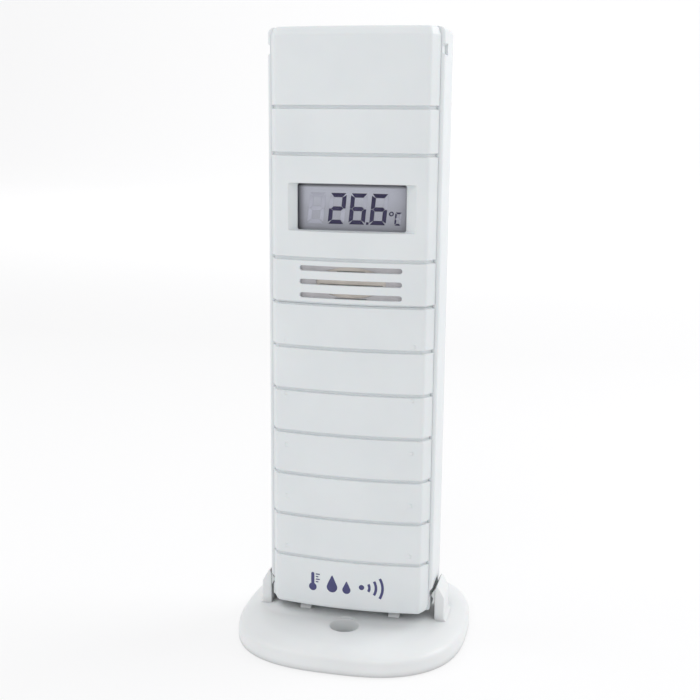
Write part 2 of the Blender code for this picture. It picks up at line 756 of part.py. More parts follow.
def build_board():
    """The board has a narrow tongue that reaches down behind the vents."""
    half, tongue = 16.2 * MM, 9.0 * MM
    board = box(
        "circuit_board",
        (-half, BOARD_FRONT_Y, level(80.5 * MM)),
        (half, BOARD_BACK_Y, level(121.0 * MM)),
    )
    join(
        board,
        box(
            "board_tongue",
            (-tongue, BOARD_FRONT_Y, level(71.5 * MM)),
            (tongue, BOARD_BACK_Y, level(81.0 * MM)),
        ),
    )
    holes = [
        rod(f"board_hole_{number}", "Y", (x, level(z)), -3.0 * MM, 1.0 * MM, 1.3 * MM, 12)
        for number, (x, z) in enumerate(BOARD_SCREWS, 1)
    ]
    cut(board, *holes)
    return board


def build_board_parts():
    front = BOARD_FRONT_Y - GAP
    back = BOARD_BACK_Y + GAP
    chip = box(
        "controller_chip",
        (-3.5 * MM, front - 1.2 * MM, level(104.0 * MM)),
        (3.5 * MM, front, level(111.0 * MM)),
    )
    can_at, can_radius = (-4.0 * MM, back + 1.0 * MM), 1.0 * MM
    crystal = rod("crystal", "Z", can_at, level(86.0 * MM), level(92.0 * MM), can_radius, 16)
    drum_at, drum_radius = (6.5 * MM, back + 2.5 * MM), 2.5 * MM
    capacitor = rod("capacitor", "Z", drum_at, level(84.0 * MM), level(91.0 * MM), drum_radius)
    humidity = box(
        "humidity_sensor",
        (-1.8 * MM, front - 1.0 * MM, level(73.5 * MM)),
        (1.8 * MM, front, level(77.1 * MM)),
    )
    rf_board = box(
        "rf_board",
        (-8.0 * MM, back, level(98.0 * MM)),
        (8.0 * MM, back + 1.0 * MM, level(112.0 * MM)),
    )
    rf_shield = box(
        "rf_shield",
        (-6.5 * MM, back + 1.3 * MM, level(99.5 * MM)),
        (3.0 * MM, back + 3.3 * MM, level(108.0 * MM)),
    )
    return chip, crystal, capacitor, humidity, rf_board, rf_shield


def build_thermistor():
    """A resin bead on two stiff legs, in front of the board's tongue."""
    shape = bmesh.new()
    size = Matrix.Diagonal((1.1, 1.1, 1.5, 1.0))
    at = Matrix.Translation((5.5 * MM, -5.0 * MM, level(76.0 * MM)))
    bmesh.ops.create_uvsphere(shape, u_segments=12, v_segments=8, radius=1.0 * MM, matrix=at @ size)
    bead = finished("thermistor", shape)
    legs = [
        tube(
            f"thermistor_leg_{number}",
            smooth_path(
                [
                    (x, -5.0 * MM, level(75.3 * MM)),
                    (x, -5.0 * MM, level(73.8 * MM)),
                    (x, -4.0 * MM, level(72.9 * MM)),
                    (x, BOARD_FRONT_Y - GAP, level(72.8 * MM)),
                ],
                steps=3,
            ),
            0.25 * MM,
        )
        for number, x in enumerate((5.1 * MM, 5.9 * MM), 1)
    ]
    join(bead, *legs)
    return bead


def build_antenna():
    """A quarter-wave wire from the transmitter board: up, across and down the left side."""
    corners = [
        (6.0, 1.6, 109.5),
        (6.0, 2.2, 112.5),
        (6.0, 4.6, 115.5),
        (6.0, 5.0, 121.5),
        (4.6, 5.0, 123.8),
        (2.0, 5.0, 124.4),
        (-5.5, 5.0, 124.4),
        (-8.3, 5.0, 123.6),
        (-9.4, 5.0, 121.0),
        (-9.4, 5.0, 72.5),
    ]
    route = smooth_path([(x * MM, y * MM, level(z * MM)) for x, y, z in corners], steps=4)
    return tube("antenna", route, 0.4 * MM)


def build_filter_pad():
    return plate("filter_pad", 11.45 * MM, 71.2 * MM, 79.6 * MM, -8.0 * MM, -7.0 * MM)


# ---------------------------------------------------------------- batteries and contacts


def cell_profile():
    """Half of an AA cell's section, positive end up, from the middle of its cap."""
    cap, shoulder = 2.75 * MM, CELL_LENGTH - 1.4 * MM
    return [
        (0.0, CELL_LENGTH),
        (cap - 0.3 * MM, CELL_LENGTH),
        (cap, CELL_LENGTH - 0.3 * MM),
        (cap, shoulder),
        (CELL_RADIUS - 0.9 * MM, shoulder),
        (CELL_RADIUS - 0.3 * MM, shoulder + 0.3 * MM),
        (CELL_RADIUS, shoulder),
        (CELL_RADIUS, 0.4 * MM),
        (CELL_RADIUS - 0.4 * MM, 0.0),
        (0.0, 0.0),
    ]


def build_cells():
    left = turned("battery_left", cell_profile())
    left.location = (-CELL_X, CELL_Y, level(UPPER_PLATE_LEVEL - GAP - CELL_LENGTH))
    right = turned("battery_right", cell_profile())
    right.rotation_euler.x = math.pi
    right.location = (CELL_X, CELL_Y, level(LOWER_PLATE_LEVEL + GAP + CELL_LENGTH))
    return left, right


def spring(name, x, low, high, wide_end_low):
    """A conical coil spring between two levels."""
    turns, steps = 3.25, 12
    bottom, top = low + GAP + SPRING_WIRE_RADIUS, high - GAP - SPRING_WIRE_RADIUS
    count = int(turns * steps)
    points = []
    for index in range(count + 1):
        share = index / count
        wide = 1 - share if wide_end_low else share
        radius = (2.3 + 2.2 * wide) * MM
        turn = 2 * math.pi * turns * share
        height = level(bottom + (top - bottom) * share)
        points.append((x + radius * math.cos(turn), CELL_Y + radius * math.sin(turn), height))
    return tube(name, points, SPRING_WIRE_RADIUS)


def upper_plate(name, x):
    """A contact plate under the bay's upper wall, with a solder tab that goes up through it."""
    low, high = UPPER_PLATE_LEVEL, UPPER_PLATE_LEVEL + PLATE_THICKNESS
    flat = box(
        name,
        (x - 5.5 * MM, CELL_Y - 5.0 * MM, level(low)),
        (x + 5.5 * MM, CELL_Y + 4.0 * MM, level(high)),
    )
    tab = box(
        name + "_tab",
        (x - 1.5 * MM, CELL_Y + 3.3 * MM, level(low + 0.1 * MM)),
        (x + 1.5 * MM, CELL_Y + 3.8 * MM, level(BAY_TOP_LEVEL + 4.0 * MM)),
    )
    join(flat, tab)
    return flat


def build_contacts():
    bridge = box(
        "bridge_plate",
        (-13.5 * MM, CELL_Y - 4.5 * MM, level(LOWER_PLATE_LEVEL - PLATE_THICKNESS)),
        (13.5 * MM, CELL_Y + 4.5 * MM, level(LOWER_PLATE_LEVEL)),
    )
    cell_low = UPPER_PLATE_LEVEL - GAP - CELL_LENGTH
    cell_high = LOWER_PLATE_LEVEL + GAP + CELL_LENGTH
    bridge_spring = spring("bridge_spring", -CELL_X, LOWER_PLATE_LEVEL, cell_low, True)
    positive = upper_plate("positive_plate", -CELL_X)
    negative = upper_plate("negative_plate", CELL_X)
    negative_spring = spring("negative_spring", CELL_X, cell_high, UPPER_PLATE_LEVEL, False)
    return bridge, bridge_spring, positive, negative, negative_spring


def build_lead(name, side):
    """A wire from a contact's solder tab to the back of the board."""
    tab_y = CELL_Y + 3.8 * MM
    corners = [
        (side * CELL_X, tab_y + 1.0 * MM, level(62.6 * MM)),
        (side * CELL_X, tab_y + 1.0 * MM, level(65.5 * MM)),
        (side * 7.0 * MM, 4.0 * MM, level(69.0 * MM)),
        (side * 5.6 * MM, 1.4 * MM, level(72.5 * MM)),
        (side * 5.0 * MM, BOARD_BACK_Y + GAP + 0.65 * MM, level(75.5 * MM)),
    ]
    return tube(name, smooth_path(corners, steps=4), 0.6 * MM)


# ---------------------------------------------------------------- screws


def screw_profile(head_radius, head_height, shank_radius, length):
    """Half a pan-head screw's section, point up along +Z and head at the bottom."""
    return [
        (0.0, length),
        (shank_radius * 0.5, length),
        (shank_radius, length - 1.2 * MM),
        (shank_radius, 0.0),
        (head_radius, 0.0),
        (head_radius, -head_height * 0.55),
        (head_radius * 0.7, -head_height),
        (0.0, -head_height),
    ]


def screw(name, x, height, seat_y, towards, sizes):
    """A screw along Y. towards is the direction of its point."""
    head_radius, head_height, shank_radius, length = (size * MM for size in sizes)
    body = turned(name, screw_profile(head_radius, head_height, shank_radius, length), steps=14)
    body.rotation_euler.x = -math.pi / 2 * towards
    body.location = (x, seat_y, height)
    slot = head_radius * 0.62
    top = seat_y - towards * (head_height + 0.2 * MM)
    deep = seat_y - towards * head_height * 0.45
    low, high = min(top, deep), max(top, deep)
    for word, wide, tall in (("a", slot, 0.35 * MM), ("b", 0.35 * MM, slot)):
        corners = (x - wide, low, height - tall), (x + wide, high, height + tall)
        cut(body, box(f"{name}_recess_{word}", *corners))
    return body


def build_screws():
    housing = [
        screw(f"housing_screw_{number}", x, level(z), SCREW_SEAT_Y + GAP, -1, (1.9, 1.5, 1.0, 10.6))
        for number, (x, z) in enumerate(HOUSING_SCREWS, 1)
    ]
    board = [
        screw(f"board_screw_{number}", x, level(z), BOARD_FRONT_Y - GAP, 1, (1.9, 1.4, 0.9, 7.0))
        for number, (x, z) in enumerate(BOARD_SCREWS, 1)
    ]
    return [*housing, *board]


# ---------------------------------------------------------------- assembly


FINISHES = {
    "housing_white": ((0.80, 0.81, 0.80), 0.45, 0.0),
    "stand_white": ((0.82, 0.83, 0.82), 0.42, 0.0),
    "window_clear": ((0.90, 0.92, 0.92), 0.05, 0.0),
    "lcd_glass": ((0.62, 0.66, 0.64), 0.08, 0.0),
    "lcd_reflector": ((0.52, 0.56, 0.58), 0.35, 0.0),
    "lcd_frame": ((0.10, 0.10, 0.11), 0.50, 0.0),
    "silicone": ((0.70, 0.42, 0.45), 0.55, 0.0),
    "board_green": ((0.05, 0.28, 0.12), 0.40, 0.0),
    "chip_black": ((0.02, 0.02, 0.02), 0.45, 0.0),
    "bare_metal": ((0.72, 0.72, 0.70), 0.28, 1.0),
    "copper_wire": ((0.78, 0.45, 0.30), 0.30, 1.0),
    "filter_felt": ((0.72, 0.62, 0.52), 0.90, 0.0),
    "cell_wrap": ((0.16, 0.20, 0.24), 0.35, 0.2),
    "lead_red": ((0.65, 0.04, 0.03), 0.45, 0.0),
    "lead_black": ((0.03, 0.03, 0.03), 0.45, 0.0),
    "label_paper": ((0.78, 0.78, 0.76), 0.40, 0.0),
    "resin": ((0.10, 0.12, 0.30), 0.35, 0.0),
}


def paint(thing, finish):
    """Gives a part its own material and shades its round faces smooth."""
    colour, roughness, metallic = FINISHES[finish]
    alpha = 0.35 if finish == "window_clear" else 1.0
    material = make_material(f"{thing.name}_{finish}", colour, roughness, metallic, alpha)
    thing.data.materials.clear()
    thing.data.materials.append(material)
    thing.data.shade_smooth()
    if thing.data.polygons:
        thing.data.set_sharp_from_angle(angle=math.radians(35))


def main():
    clear_scene()
    make_collection(PARTS, False)
    make_collection(CUTTERS, True)
    paint(build_stand(), "stand_white")
    paint(build_rear_shell(), "housing_white")
    paint(build_front_shell(), "housing_white")
    paint(build_battery_cover(), "housing_white")
    paint(build_rating_label(), "label_paper")
    display = ("window_clear", "lcd_frame", "lcd_glass", "lcd_glass", "lcd_reflector", "silicone")
    for thing, finish in zip(build_display(), display):
        paint(thing, finish)
    paint(build_board(), "board_green")
    mounted = ("chip_black", "bare_metal", "chip_black", "chip_black", "board_green", "bare_metal")
    for thing, finish in zip(build_board_parts(), mounted):
        paint(thing, finish)
    paint(build_thermistor(), "resin")
    paint(build_antenna(), "copper_wire")
    paint(build_filter_pad(), "filter_felt")
    for cell in build_cells():
        paint(cell, "cell_wrap")
    for contact in build_contacts():
        paint(contact, "bare_metal")
    paint(build_lead("positive_lead", -1), "lead_red")
    paint(build_lead("negative_lead", 1), "lead_black")
    for fastener in build_screws():
        paint(fastener, "bare_metal")


main()
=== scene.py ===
"""The looks of a white outdoor thermometer sensor in its clip-on stand.

Sizes are in millimetres unless a comment says metres, with +Z up and the front towards -Y. They
become metres where a mesh or a node is made. Levels are heights above the sensor's bottom edge.
"""

import math

import bmesh
import bpy
from mathutils import Matrix, Vector


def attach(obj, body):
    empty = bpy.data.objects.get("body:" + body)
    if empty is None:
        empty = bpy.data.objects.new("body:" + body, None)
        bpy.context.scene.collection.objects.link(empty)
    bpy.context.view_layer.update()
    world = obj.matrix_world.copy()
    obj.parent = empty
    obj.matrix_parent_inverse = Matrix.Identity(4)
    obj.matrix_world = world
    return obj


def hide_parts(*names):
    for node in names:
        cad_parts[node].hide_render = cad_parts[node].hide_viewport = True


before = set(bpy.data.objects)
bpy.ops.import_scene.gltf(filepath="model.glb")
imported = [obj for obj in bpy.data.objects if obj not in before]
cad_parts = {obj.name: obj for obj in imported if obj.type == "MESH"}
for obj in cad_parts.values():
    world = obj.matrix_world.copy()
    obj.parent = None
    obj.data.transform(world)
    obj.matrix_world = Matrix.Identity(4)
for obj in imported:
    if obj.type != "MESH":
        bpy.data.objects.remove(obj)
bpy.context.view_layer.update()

MM = 0.001
STAND, SENSOR, COVER = "stand", "sensor_module", "battery_cover"

# Driving sizes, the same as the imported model's.
MODULE_BOTTOM = 8.0
MODULE_HEIGHT = 128.8
DISPLAY_LEVEL = 91.4


def level(height):
    """The height above the ground of a level above the sensor's bottom edge."""
    return MODULE_BOTTOM + height


def srgb(red, green, blue):
    """Linear RGBA of an 8-bit sRGB colour."""
    values = [value / 255 for value in (red, green, blue)]
    return (*(v / 12.92 if v <= 0.04045 else ((v + 0.055) / 1.055) ** 2.4 for v in values), 1.0)


def new_object(name, data):
    thing = bpy.data.objects.new(name, data)
    bpy.context.scene.collection.objects.link(thing)
    return thing


# ---- node helpers


class Tree:
    """A short way to add nodes and links to one node tree."""

    def __init__(self, tree):
        self.tree = tree

    def add(self, kind, settings=None, **inputs):
        node = self.tree.nodes.new(kind)
        for name, value in (settings or {}).items():
            setattr(node, name, value)
        for name, value in inputs.items():
            self.feed(node.inputs[name.replace("_", " ")], value)
        return node

    def feed(self, socket, value):
        if isinstance(value, bpy.types.NodeSocket):
            self.tree.links.new(value, socket)
        else:
            socket.default_value = value

    def ramp(self, value, low, high, start, end):
        """A value mapped from low..high to start..end, clamped."""
        node = self.add("ShaderNodeMapRange")
        for socket, number in zip(node.inputs, (value, low, high, start, end)):
            self.feed(socket, number)
        return node.outputs[0]


class Nodes(Tree):
    """The nodes of one new material."""

    def __init__(self, name):
        self.material = bpy.data.materials.new(name)
        self.material.use_nodes = True
        super().__init__(self.material.node_tree)
        self.surface = self.tree.nodes["Principled BSDF"]
        self.place = self.add("ShaderNodeTexCoord").outputs["Object"]

    def set(self, **inputs):
        for name, value in inputs.items():
            self.feed(self.surface.inputs[name.replace("_", " ")], value)

    def noise(self, size, detail=2.0, stretch=(1.0, 1.0, 1.0)):
        """Noise from 0 to 1 with features of about this size."""
        scaled = self.add("ShaderNodeVectorMath", {"operation": "MULTIPLY"})
        self.feed(scaled.inputs[0], self.place)
        scaled.inputs[1].default_value = [1.0 / (size * MM * s) for s in stretch]
        node = self.add("ShaderNodeTexNoise", Vector=scaled.outputs[0], Scale=1.0, Detail=detail)
        return node.outputs["Fac"]

    def mix(self, share, first, second):
        """The first colour, with this share of the second."""
        node = self.add("ShaderNodeMix", {"data_type": "RGBA"})
        self.feed(node.inputs[0], share)
        self.feed(node.inputs[6], first)
        self.feed(node.inputs[7], second)
        return node.outputs[2]

    def product(self, *factors):
        total = factors[0]
        for factor in factors[1:]:
            node = self.add("ShaderNodeMath", {"operation": "MULTIPLY"})
            self.feed(node.inputs[0], total)
            self.feed(node.inputs[1], factor)
            total = node.outputs[0]
        return total

    def soft_edges(self, radius):
        return self.add("ShaderNodeBevel", {"samples": 6}, Radius=radius * MM).outputs["Normal"]

    def bump(self, height, depth, strength=1.0, normal=None):
        node = self.add("ShaderNodeBump", Height=height, Distance=depth * MM, Strength=strength)
        if normal is not None:
            self.feed(node.inputs["Normal"], normal)
        return node.outputs["Normal"]

    def occlusion(self, distance):
        """How open the surroundings are out to this distance, from 0 to 1."""
        node = self.add("ShaderNodeAmbientOcclusion", {"samples": 8}, Distance=distance * MM)
        return node.outputs["AO"]


# The dark grey of the painted contact shadow.
CONTACT_SHADOW_GREY = srgb(112, 110, 110)


def moulded_plastic(name, colour, shade, roughness=0.42, contact_shadow=0.0):
    """Fine-grained moulded plastic with slow tone changes, painted shade in its corners and grooves, and,
    where asked, a painted contact shadow under things.
    """
    n = Nodes(name)
    slow = n.noise(14, 3.0)
    flow = n.noise(3.5, 2.0, (1.0, 1.0, 3.0))
    fine = n.noise(0.16, 3.0)
    tone = n.mix(n.ramp(slow, 0.35, 0.65, 0.05, 0.35), colour, shade)
    # Painted shade: darker in corners, grooves and recesses, from occlusion out to 0.9 mm.
    crevice_shade = n.ramp(n.occlusion(0.9), 0.25, 0.95, 0.55, 0.0)
    tone = n.mix(crevice_shade, tone, shade)
    # Painted shadow: darker under and close to other parts, from occlusion out to 3.4 mm.
    if contact_shadow:
        under = n.ramp(n.occlusion(3.4), 0.1, 0.68, contact_shadow, 0.0)
        tone = n.mix(under, tone, CONTACT_SHADOW_GREY)
    rough = n.ramp(flow, 0.3, 0.7, roughness - 0.05, roughness + 0.06)
    n.set(
        Base_Color=tone,
        Roughness=rough,
        Specular_IOR_Level=0.42,
        Subsurface_Weight=0.06,
        Subsurface_Scale=0.8 * MM,
        Normal=n.bump(fine, 0.012, 0.35, n.soft_edges(0.22)),
    )
    return n.material


def metal(name, colour, roughness, grain=0.25, stretch=(1.0, 1.0, 1.0)):
    """Plated metal with fine drawn marks and slightly uneven brightness."""
    n = Nodes(name)
    marks = n.noise(grain, 3.0, stretch)
    slow = n.noise(2.5, 2.0)
    dull = tuple(0.72 * c for c in colour[:3]) + (1.0,)
    n.set(
        Base_Color=n.mix(n.ramp(slow, 0.4, 0.75, 0.0, 0.6), colour, dull),
        Metallic=1.0,
        Roughness=n.ramp(marks, 0.3, 0.7, roughness - 0.08, roughness + 0.12),
        Normal=n.bump(marks, 0.006, 0.5, n.soft_edges(0.08)),
    )
    return n.material


def resin_or_rubber(name, colour, roughness, grain=0.3, depth=0.01, mottle=0.7):
    """An even, non-metallic finish with a fine grain and a slow, paler mottle."""
    n = Nodes(name)
    fine = n.noise(grain, 3.0)
    slow = n.noise(5, 2.0)
    pale = tuple(min(1.0, 1.25 * c + 0.004) for c in colour[:3]) + (1.0,)
    n.set(
        Base_Color=n.mix(n.ramp(slow, 0.35, 0.7, 0.0, mottle), colour, pale),
        Roughness=n.ramp(fine, 0.3, 0.7, roughness - 0.06, roughness + 0.08),
        Normal=n.bump(fine, depth, 0.5, n.soft_edges(0.12)),
    )
    return n.material


# Painted shade over the film's height, with painted light towards its top: (dim level, full level, how
# dim).
FILM_PAINTED_SHADE = [(95.95, 95.45, 0.25), (91.0, 95.2, 0.73), (85.5, 85.75, 0.3), (86.1, 86.3, 0.86)]


def display_film(name, colour):
    """Grey display film with painted shade along the edges that the opening shades, and painted light that
    brightens it towards its top.
    """
    n = Nodes(name)
    fine = n.noise(0.2, 2.0)
    place = n.add("ShaderNodeSeparateXYZ", Vector=n.place)
    across, up = place.outputs["X"], place.outputs["Z"]
    # Painted shade: darker towards the left and right edges, along the top and bottom edges, and over the
    # lower part.
    left = n.add("ShaderNodeMath", {"operation": "POWER"})
    n.feed(left.inputs[0], n.ramp(across, -12.15 * MM, -10.7 * MM, 0.0, 1.0))
    n.feed(left.inputs[1], 0.6)
    shade = n.product(
        n.ramp(left.outputs[0], 0.0, 1.0, 0.3, 1.0),
        n.ramp(across, 10.9 * MM, 5.5 * MM, 0.86, 1.0),
        *(n.ramp(up, level(a) * MM, level(b) * MM, dim, 1.0) for a, b, dim in FILM_PAINTED_SHADE),
    )
    n.set(
        Base_Color=n.mix(shade, srgb(38, 34, 46), colour),
        Roughness=n.ramp(fine, 0.3, 0.7, 0.45, 0.55),
        Normal=n.bump(fine, 0.002, 0.3),
    )
    return n.material


def clear_plastic(name):
    """A thin clear sheet with a faint moulded ripple, glossier towards grazing angles."""
    n = Nodes(name)
    ripple = n.noise(6, 1.0)
    gloss = n.add("ShaderNodeLayerWeight", Blend=0.12).outputs["Fresnel"]
    n.set(
        Base_Color=srgb(40, 42, 50),
        Roughness=n.ramp(ripple, 0.3, 0.7, 0.03, 0.09),
        Alpha=n.ramp(gloss, 0.0, 1.0, 0.01, 0.9),
        Normal=n.bump(ripple, 0.02, 0.2),
    )
    return n.material


# ---- camera, light and floor

# The camera's place is in metres, and its lens in millimetres.
CAMERA_AT = (0.05368, -0.24077, 0.11852)
CAMERA_AZIMUTH = math.radians(13.01)
CAMERA_ELEVATION = math.radians(11.88)
CAMERA_ROLL = math.radians(0.45)
CAMERA_LENS = 57.14


def add_camera():
    data = bpy.data.cameras.new("camera")
    data.lens = CAMERA_LENS
    data.sensor_width = 36.0
    data.clip_start = 0.01
    camera = new_object("camera", data)
    azimuth = Matrix.Rotation(CAMERA_AZIMUTH, 4, "Z")
    tilt = Matrix.Rotation(math.radians(90) - CAMERA_ELEVATION, 4, "X")
    roll = Matrix.Rotation(CAMERA_ROLL, 4, "Z")
    camera.matrix_world = Matrix.Translation(CAMERA_AT) @ azimuth @ tilt @ roll
    bpy.context.scene.camera = camera


def add_softbox(name, at, look_at, width, height, watts):
    """A rectangular lamp. Its places and sizes are in metres."""
    data = bpy.data.lights.new(name, "AREA")
    data.shape = "RECTANGLE"
    data.size = width
    data.size_y = height
    data.energy = watts
    light = new_object(name, data)
    light.location = at
    light.rotation_euler = (Vector(look_at) - Vector(at)).to_track_quat("-Z", "Y").to_euler()


# The surroundings: a bright band above the horizon (degrees), and a softer ceiling.
HORIZON_TOP = 7.0
SKY_START = 24.0
HORIZON_STRENGTH = 0.96
SKY_STRENGTH = 0.58


def add_lights():
    middle = (0.0, 0.0, 0.07)
    add_softbox("softbox_right", (0.36, 0.20, 0.42), middle, 0.3, 0.3, 1.08)
    add_softbox("softbox_left", (-0.40, -0.05, 0.52), middle, 0.35, 0.35, 0.62)
    add_softbox("softbox_front", (0.0, -0.35, 0.55), middle, 0.4, 0.3, 0.6)
    add_softbox("backdrop_light", (0.0, 0.7, 0.9), (0.0, 2.0, 0.35), 1.6, 0.6, 10.0)
    world = bpy.data.worlds.new("studio")
    world.use_nodes = True
    sky = Tree(world.node_tree)
    place = sky.add("ShaderNodeTexCoord").outputs["Generated"]
    up = sky.add("ShaderNodeSeparateXYZ", Vector=place).outputs["Z"]
    ends = [math.sin(math.radians(at)) for at in (HORIZON_TOP, SKY_START)]
    background = world.node_tree.nodes["Background"]
    background.inputs["Color"].default_value = (1.0, 1.0, 1.0, 1.0)
    sky.feed(background.inputs["Strength"], sky.ramp(up, *ends, HORIZON_STRENGTH, SKY_STRENGTH))
    bpy.context.scene.world = world
    bpy.context.scene.view_settings.view_transform = "Standard"


# The floor's front edge, where its sweep starts and how high the backdrop goes, in metres.
FLOOR_FRONT = -2.5
FLOOR_HALF_WIDTH = 3.0
SWEEP_START = 1.4
SWEEP_RADIUS = 0.8
BACKDROP_HEIGHT = 2.6


def add_floor():
    """A pale floor that sweeps up into a backdrop, far behind."""
    sweep = [(SWEEP_START + SWEEP_RADIUS * s, SWEEP_RADIUS * (1 - c)) for s, c in arc_steps(12)]
    profile = [(FLOOR_FRONT, 0.0), *sweep, (SWEEP_START + SWEEP_RADIUS, BACKDROP_HEIGHT)]
    shape = bmesh.new()
    edges = (-FLOOR_HALF_WIDTH, FLOOR_HALF_WIDTH)
    rows = [[shape.verts.new((x, y, z)) for x in edges] for y, z in profile]
    for low, high in zip(rows, rows[1:]):
        shape.faces.new((low[0], low[1], high[1], high[0]))
    mesh = bpy.data.meshes.new("floor")
    shape.to_mesh(mesh)
    shape.free()
    mesh.shade_smooth()
    floor = new_object("floor", mesh)
    n = Nodes("floor_white")
    n.set(
        Base_Color=srgb(155, 155, 156),
        Roughness=0.9,
        Emission_Color=(1.0, 1.0, 1.0, 1.0),
        Emission_Strength=0.62,
    )
    mesh.materials.append(n.material)


# ---- CAD nodes that stay

# Edges that turn less than this, in degrees, are shaded smooth.
SMOOTH_BELOW = 32


def smoothing():
    """A node group that welds a CAD mesh and shades it smooth except at real edges."""
    group = bpy.data.node_groups.new("smooth_round_faces", "GeometryNodeTree")
    group.interface.new_socket("Geometry", in_out="INPUT", socket_type="NodeSocketGeometry")
    group.interface.new_socket("Geometry", in_out="OUTPUT", socket_type="NodeSocketGeometry")
    tree = Tree(group)
    start = tree.add("NodeGroupInput").outputs[0]
    weld = tree.add("GeometryNodeMergeByDistance", Geometry=start, Distance=0.0005 * MM)
    smooth = tree.add(
        "GeometryNodeSetShadeSmooth", {"domain": "FACE"}, Geometry=weld.outputs["Geometry"]
    )
    angle = tree.add("GeometryNodeInputMeshEdgeAngle").outputs["Unsigned Angle"]
    limit = tree.add("FunctionNodeCompare", {"data_type": "FLOAT", "operation": "GREATER_THAN"})
    tree.feed(limit.inputs[0], angle)
    tree.feed(limit.inputs[1], math.radians(SMOOTH_BELOW))
    sharp = tree.add(
        "GeometryNodeSetShadeSmooth",
        {"domain": "EDGE"},
        Geometry=smooth.outputs["Geometry"],
        Selection=limit.outputs[0],
        Shade_Smooth=False,
    )
    tree.add("NodeGroupOutput", Geometry=sharp.outputs["Geometry"])
    return group


def dress_cad_nodes(finishes):
    """Gives CAD nodes their materials. Each finish is a material and the nodes that have it."""
    group = smoothing()
    for material, nodes in finishes:
        for node in nodes:
            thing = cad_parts[node]
            thing.data.materials.clear()
            thing.data.materials.append(material)
            modifier = thing.modifiers.new("smooth", "NODES")
            modifier.node_group = group


# ---- mesh helpers


def arc_steps(count):
    """Sine and cosine shares along a quarter turn."""
    turns = [math.pi / 2 * step / count for step in range(count + 1)]
    return [(math.sin(turn), math.cos(turn)) for turn in turns]


def arc(x, z, radius, start, sweep, steps):
    """Points along part of a circle. The angles are in degrees."""
    turns = [math.radians(start + sweep * step / steps) for step in range(steps + 1)]
    return [(x + radius * math.cos(turn), z + radius * math.sin(turn)) for turn in turns]


def ellipse(at, half_width, half_height, sides=48):
    turns = [2 * math.pi * step / sides for step in range(sides)]
    return [(at[0] + half_width * math.cos(t), at[1] + half_height * math.sin(t)) for t in turns]


def rectangle(left, low, right, high):
    return [(left, low), (right, low), (right, high), (left, high)]


def mesh_of(shape):
    bmesh.ops.recalc_face_normals(shape, faces=shape.faces)
    mesh = bpy.data.meshes.new("mesh")
    shape.to_mesh(mesh)
    shape.free()
    return mesh


def corners(shape, points):
    """Adds a mesh corner at each point, and turns millimetres to metres."""
    return [shape.verts.new([value * MM for value in point]) for point in points]


def add_sides(shape, lower, upper):
    for index in range(len(lower)):
        after = (index + 1) % len(lower)
        shape.faces.new((lower[index], lower[after], upper[after], upper[index]))


def loft(rings, closed=False):
    """A solid through rings of equal point counts. closed joins the last ring to the first."""
    shape = bmesh.new()
    rows = [corners(shape, ring) for ring in rings]
    for lower, upper in zip(rows, [*rows[1:], rows[0]] if closed else rows[1:]):
        add_sides(shape, lower, upper)
    if not closed:
        shape.faces.new(rows[0])
        shape.faces.new(rows[-1])
    return mesh_of(shape)


def prism(outline, axis, start, end):
    """A flat outline in the two directions across an axis, extruded along it."""

    def at(point, along):
        across, up = point
        return {"X": (along, across, up), "Y": (across, along, up), "Z": (across, up, along)}[axis]

    return loft([[at(point, along) for point in outline] for along in (start, end)])


def block(across, along, levels):
    """A block between two x, two y and two levels."""
    outline = rectangle(across[0], along[0], across[1], along[1])
    return prism(outline, "Z", level(levels[0]), level(levels[1]))


def rod(axis, at, start, end, radius, sides=48):
    return prism(ellipse(at, radius, radius, sides), axis, start, end)


def add_plate(shape, front, back):
    """Adds a thin plate between two outlines of equal point counts."""
    rims = []
    for outline in (front, back):
        rims.append(corners(shape, outline))
        shape.faces.new(rims[-1])
    add_sides(shape, *rims)


def turned(profile, centre, sides=64):
    """A turned solid about a vertical axis. The profile runs from axis to axis."""
    shape = bmesh.new()
    turns = [2 * math.pi * step / sides for step in range(sides)]
    rows = []
    for radius, height in profile:
        spots = [(radius * math.cos(t), radius * math.sin(t)) for t in (turns if radius else [0.0])]
        rows.append(corners(shape, [(centre[0] + x, centre[1] + y, height) for x, y in spots]))
    for low, high in zip(rows, rows[1:]):
        for index in range(sides):
            after = (index + 1) % sides
            around = [low[index % len(low)], low[after % len(low)]]
            around += [high[after % len(high)], high[index % len(high)]]
            shape.faces.new(list(dict.fromkeys(around)))
    return mesh_of(shape)


def rounded(outline, radii, steps=6):
    """The outline with some corners rounded. radii maps a corner's index to its radius."""
    points = []
    for index, corner in enumerate(outline):
        here = Vector(corner)
        if index not in radii:
            points.append(tuple(here))
            continue
        to_last = (Vector(outline[index - 1]) - here).normalized()
        to_next = (Vector(outline[(index + 1) % len(outline)]) - here).normalized()
        half = to_last.angle(to_next) / 2
        centre = here + (to_last + to_next).normalized() * radii[index] / math.sin(half)
        start = here + to_last * radii[index] / math.tan(half) - centre
        end = here + to_next * radii[index] / math.tan(half) - centre
        sweep = start.angle(end)
        for step in range(steps + 1):
            turn = sweep * step / steps
            spoke = (start * math.sin(sweep - turn) + end * math.sin(turn)) / math.sin(sweep)
            points.append(tuple(centre + spoke))
    return points


def soft_rectangle(left, low, right, high, radius, steps):
    return rounded(rectangle(left, low, right, high), dict.fromkeys(range(4), radius), steps)


def apply_modifiers(thing):
    bpy.context.view_layer.update()
    evaluated = thing.evaluated_get(bpy.context.evaluated_depsgraph_get())
    mesh = bpy.data.meshes.new_from_object(evaluated)
    thing.modifiers.clear()
    thing.data = mesh


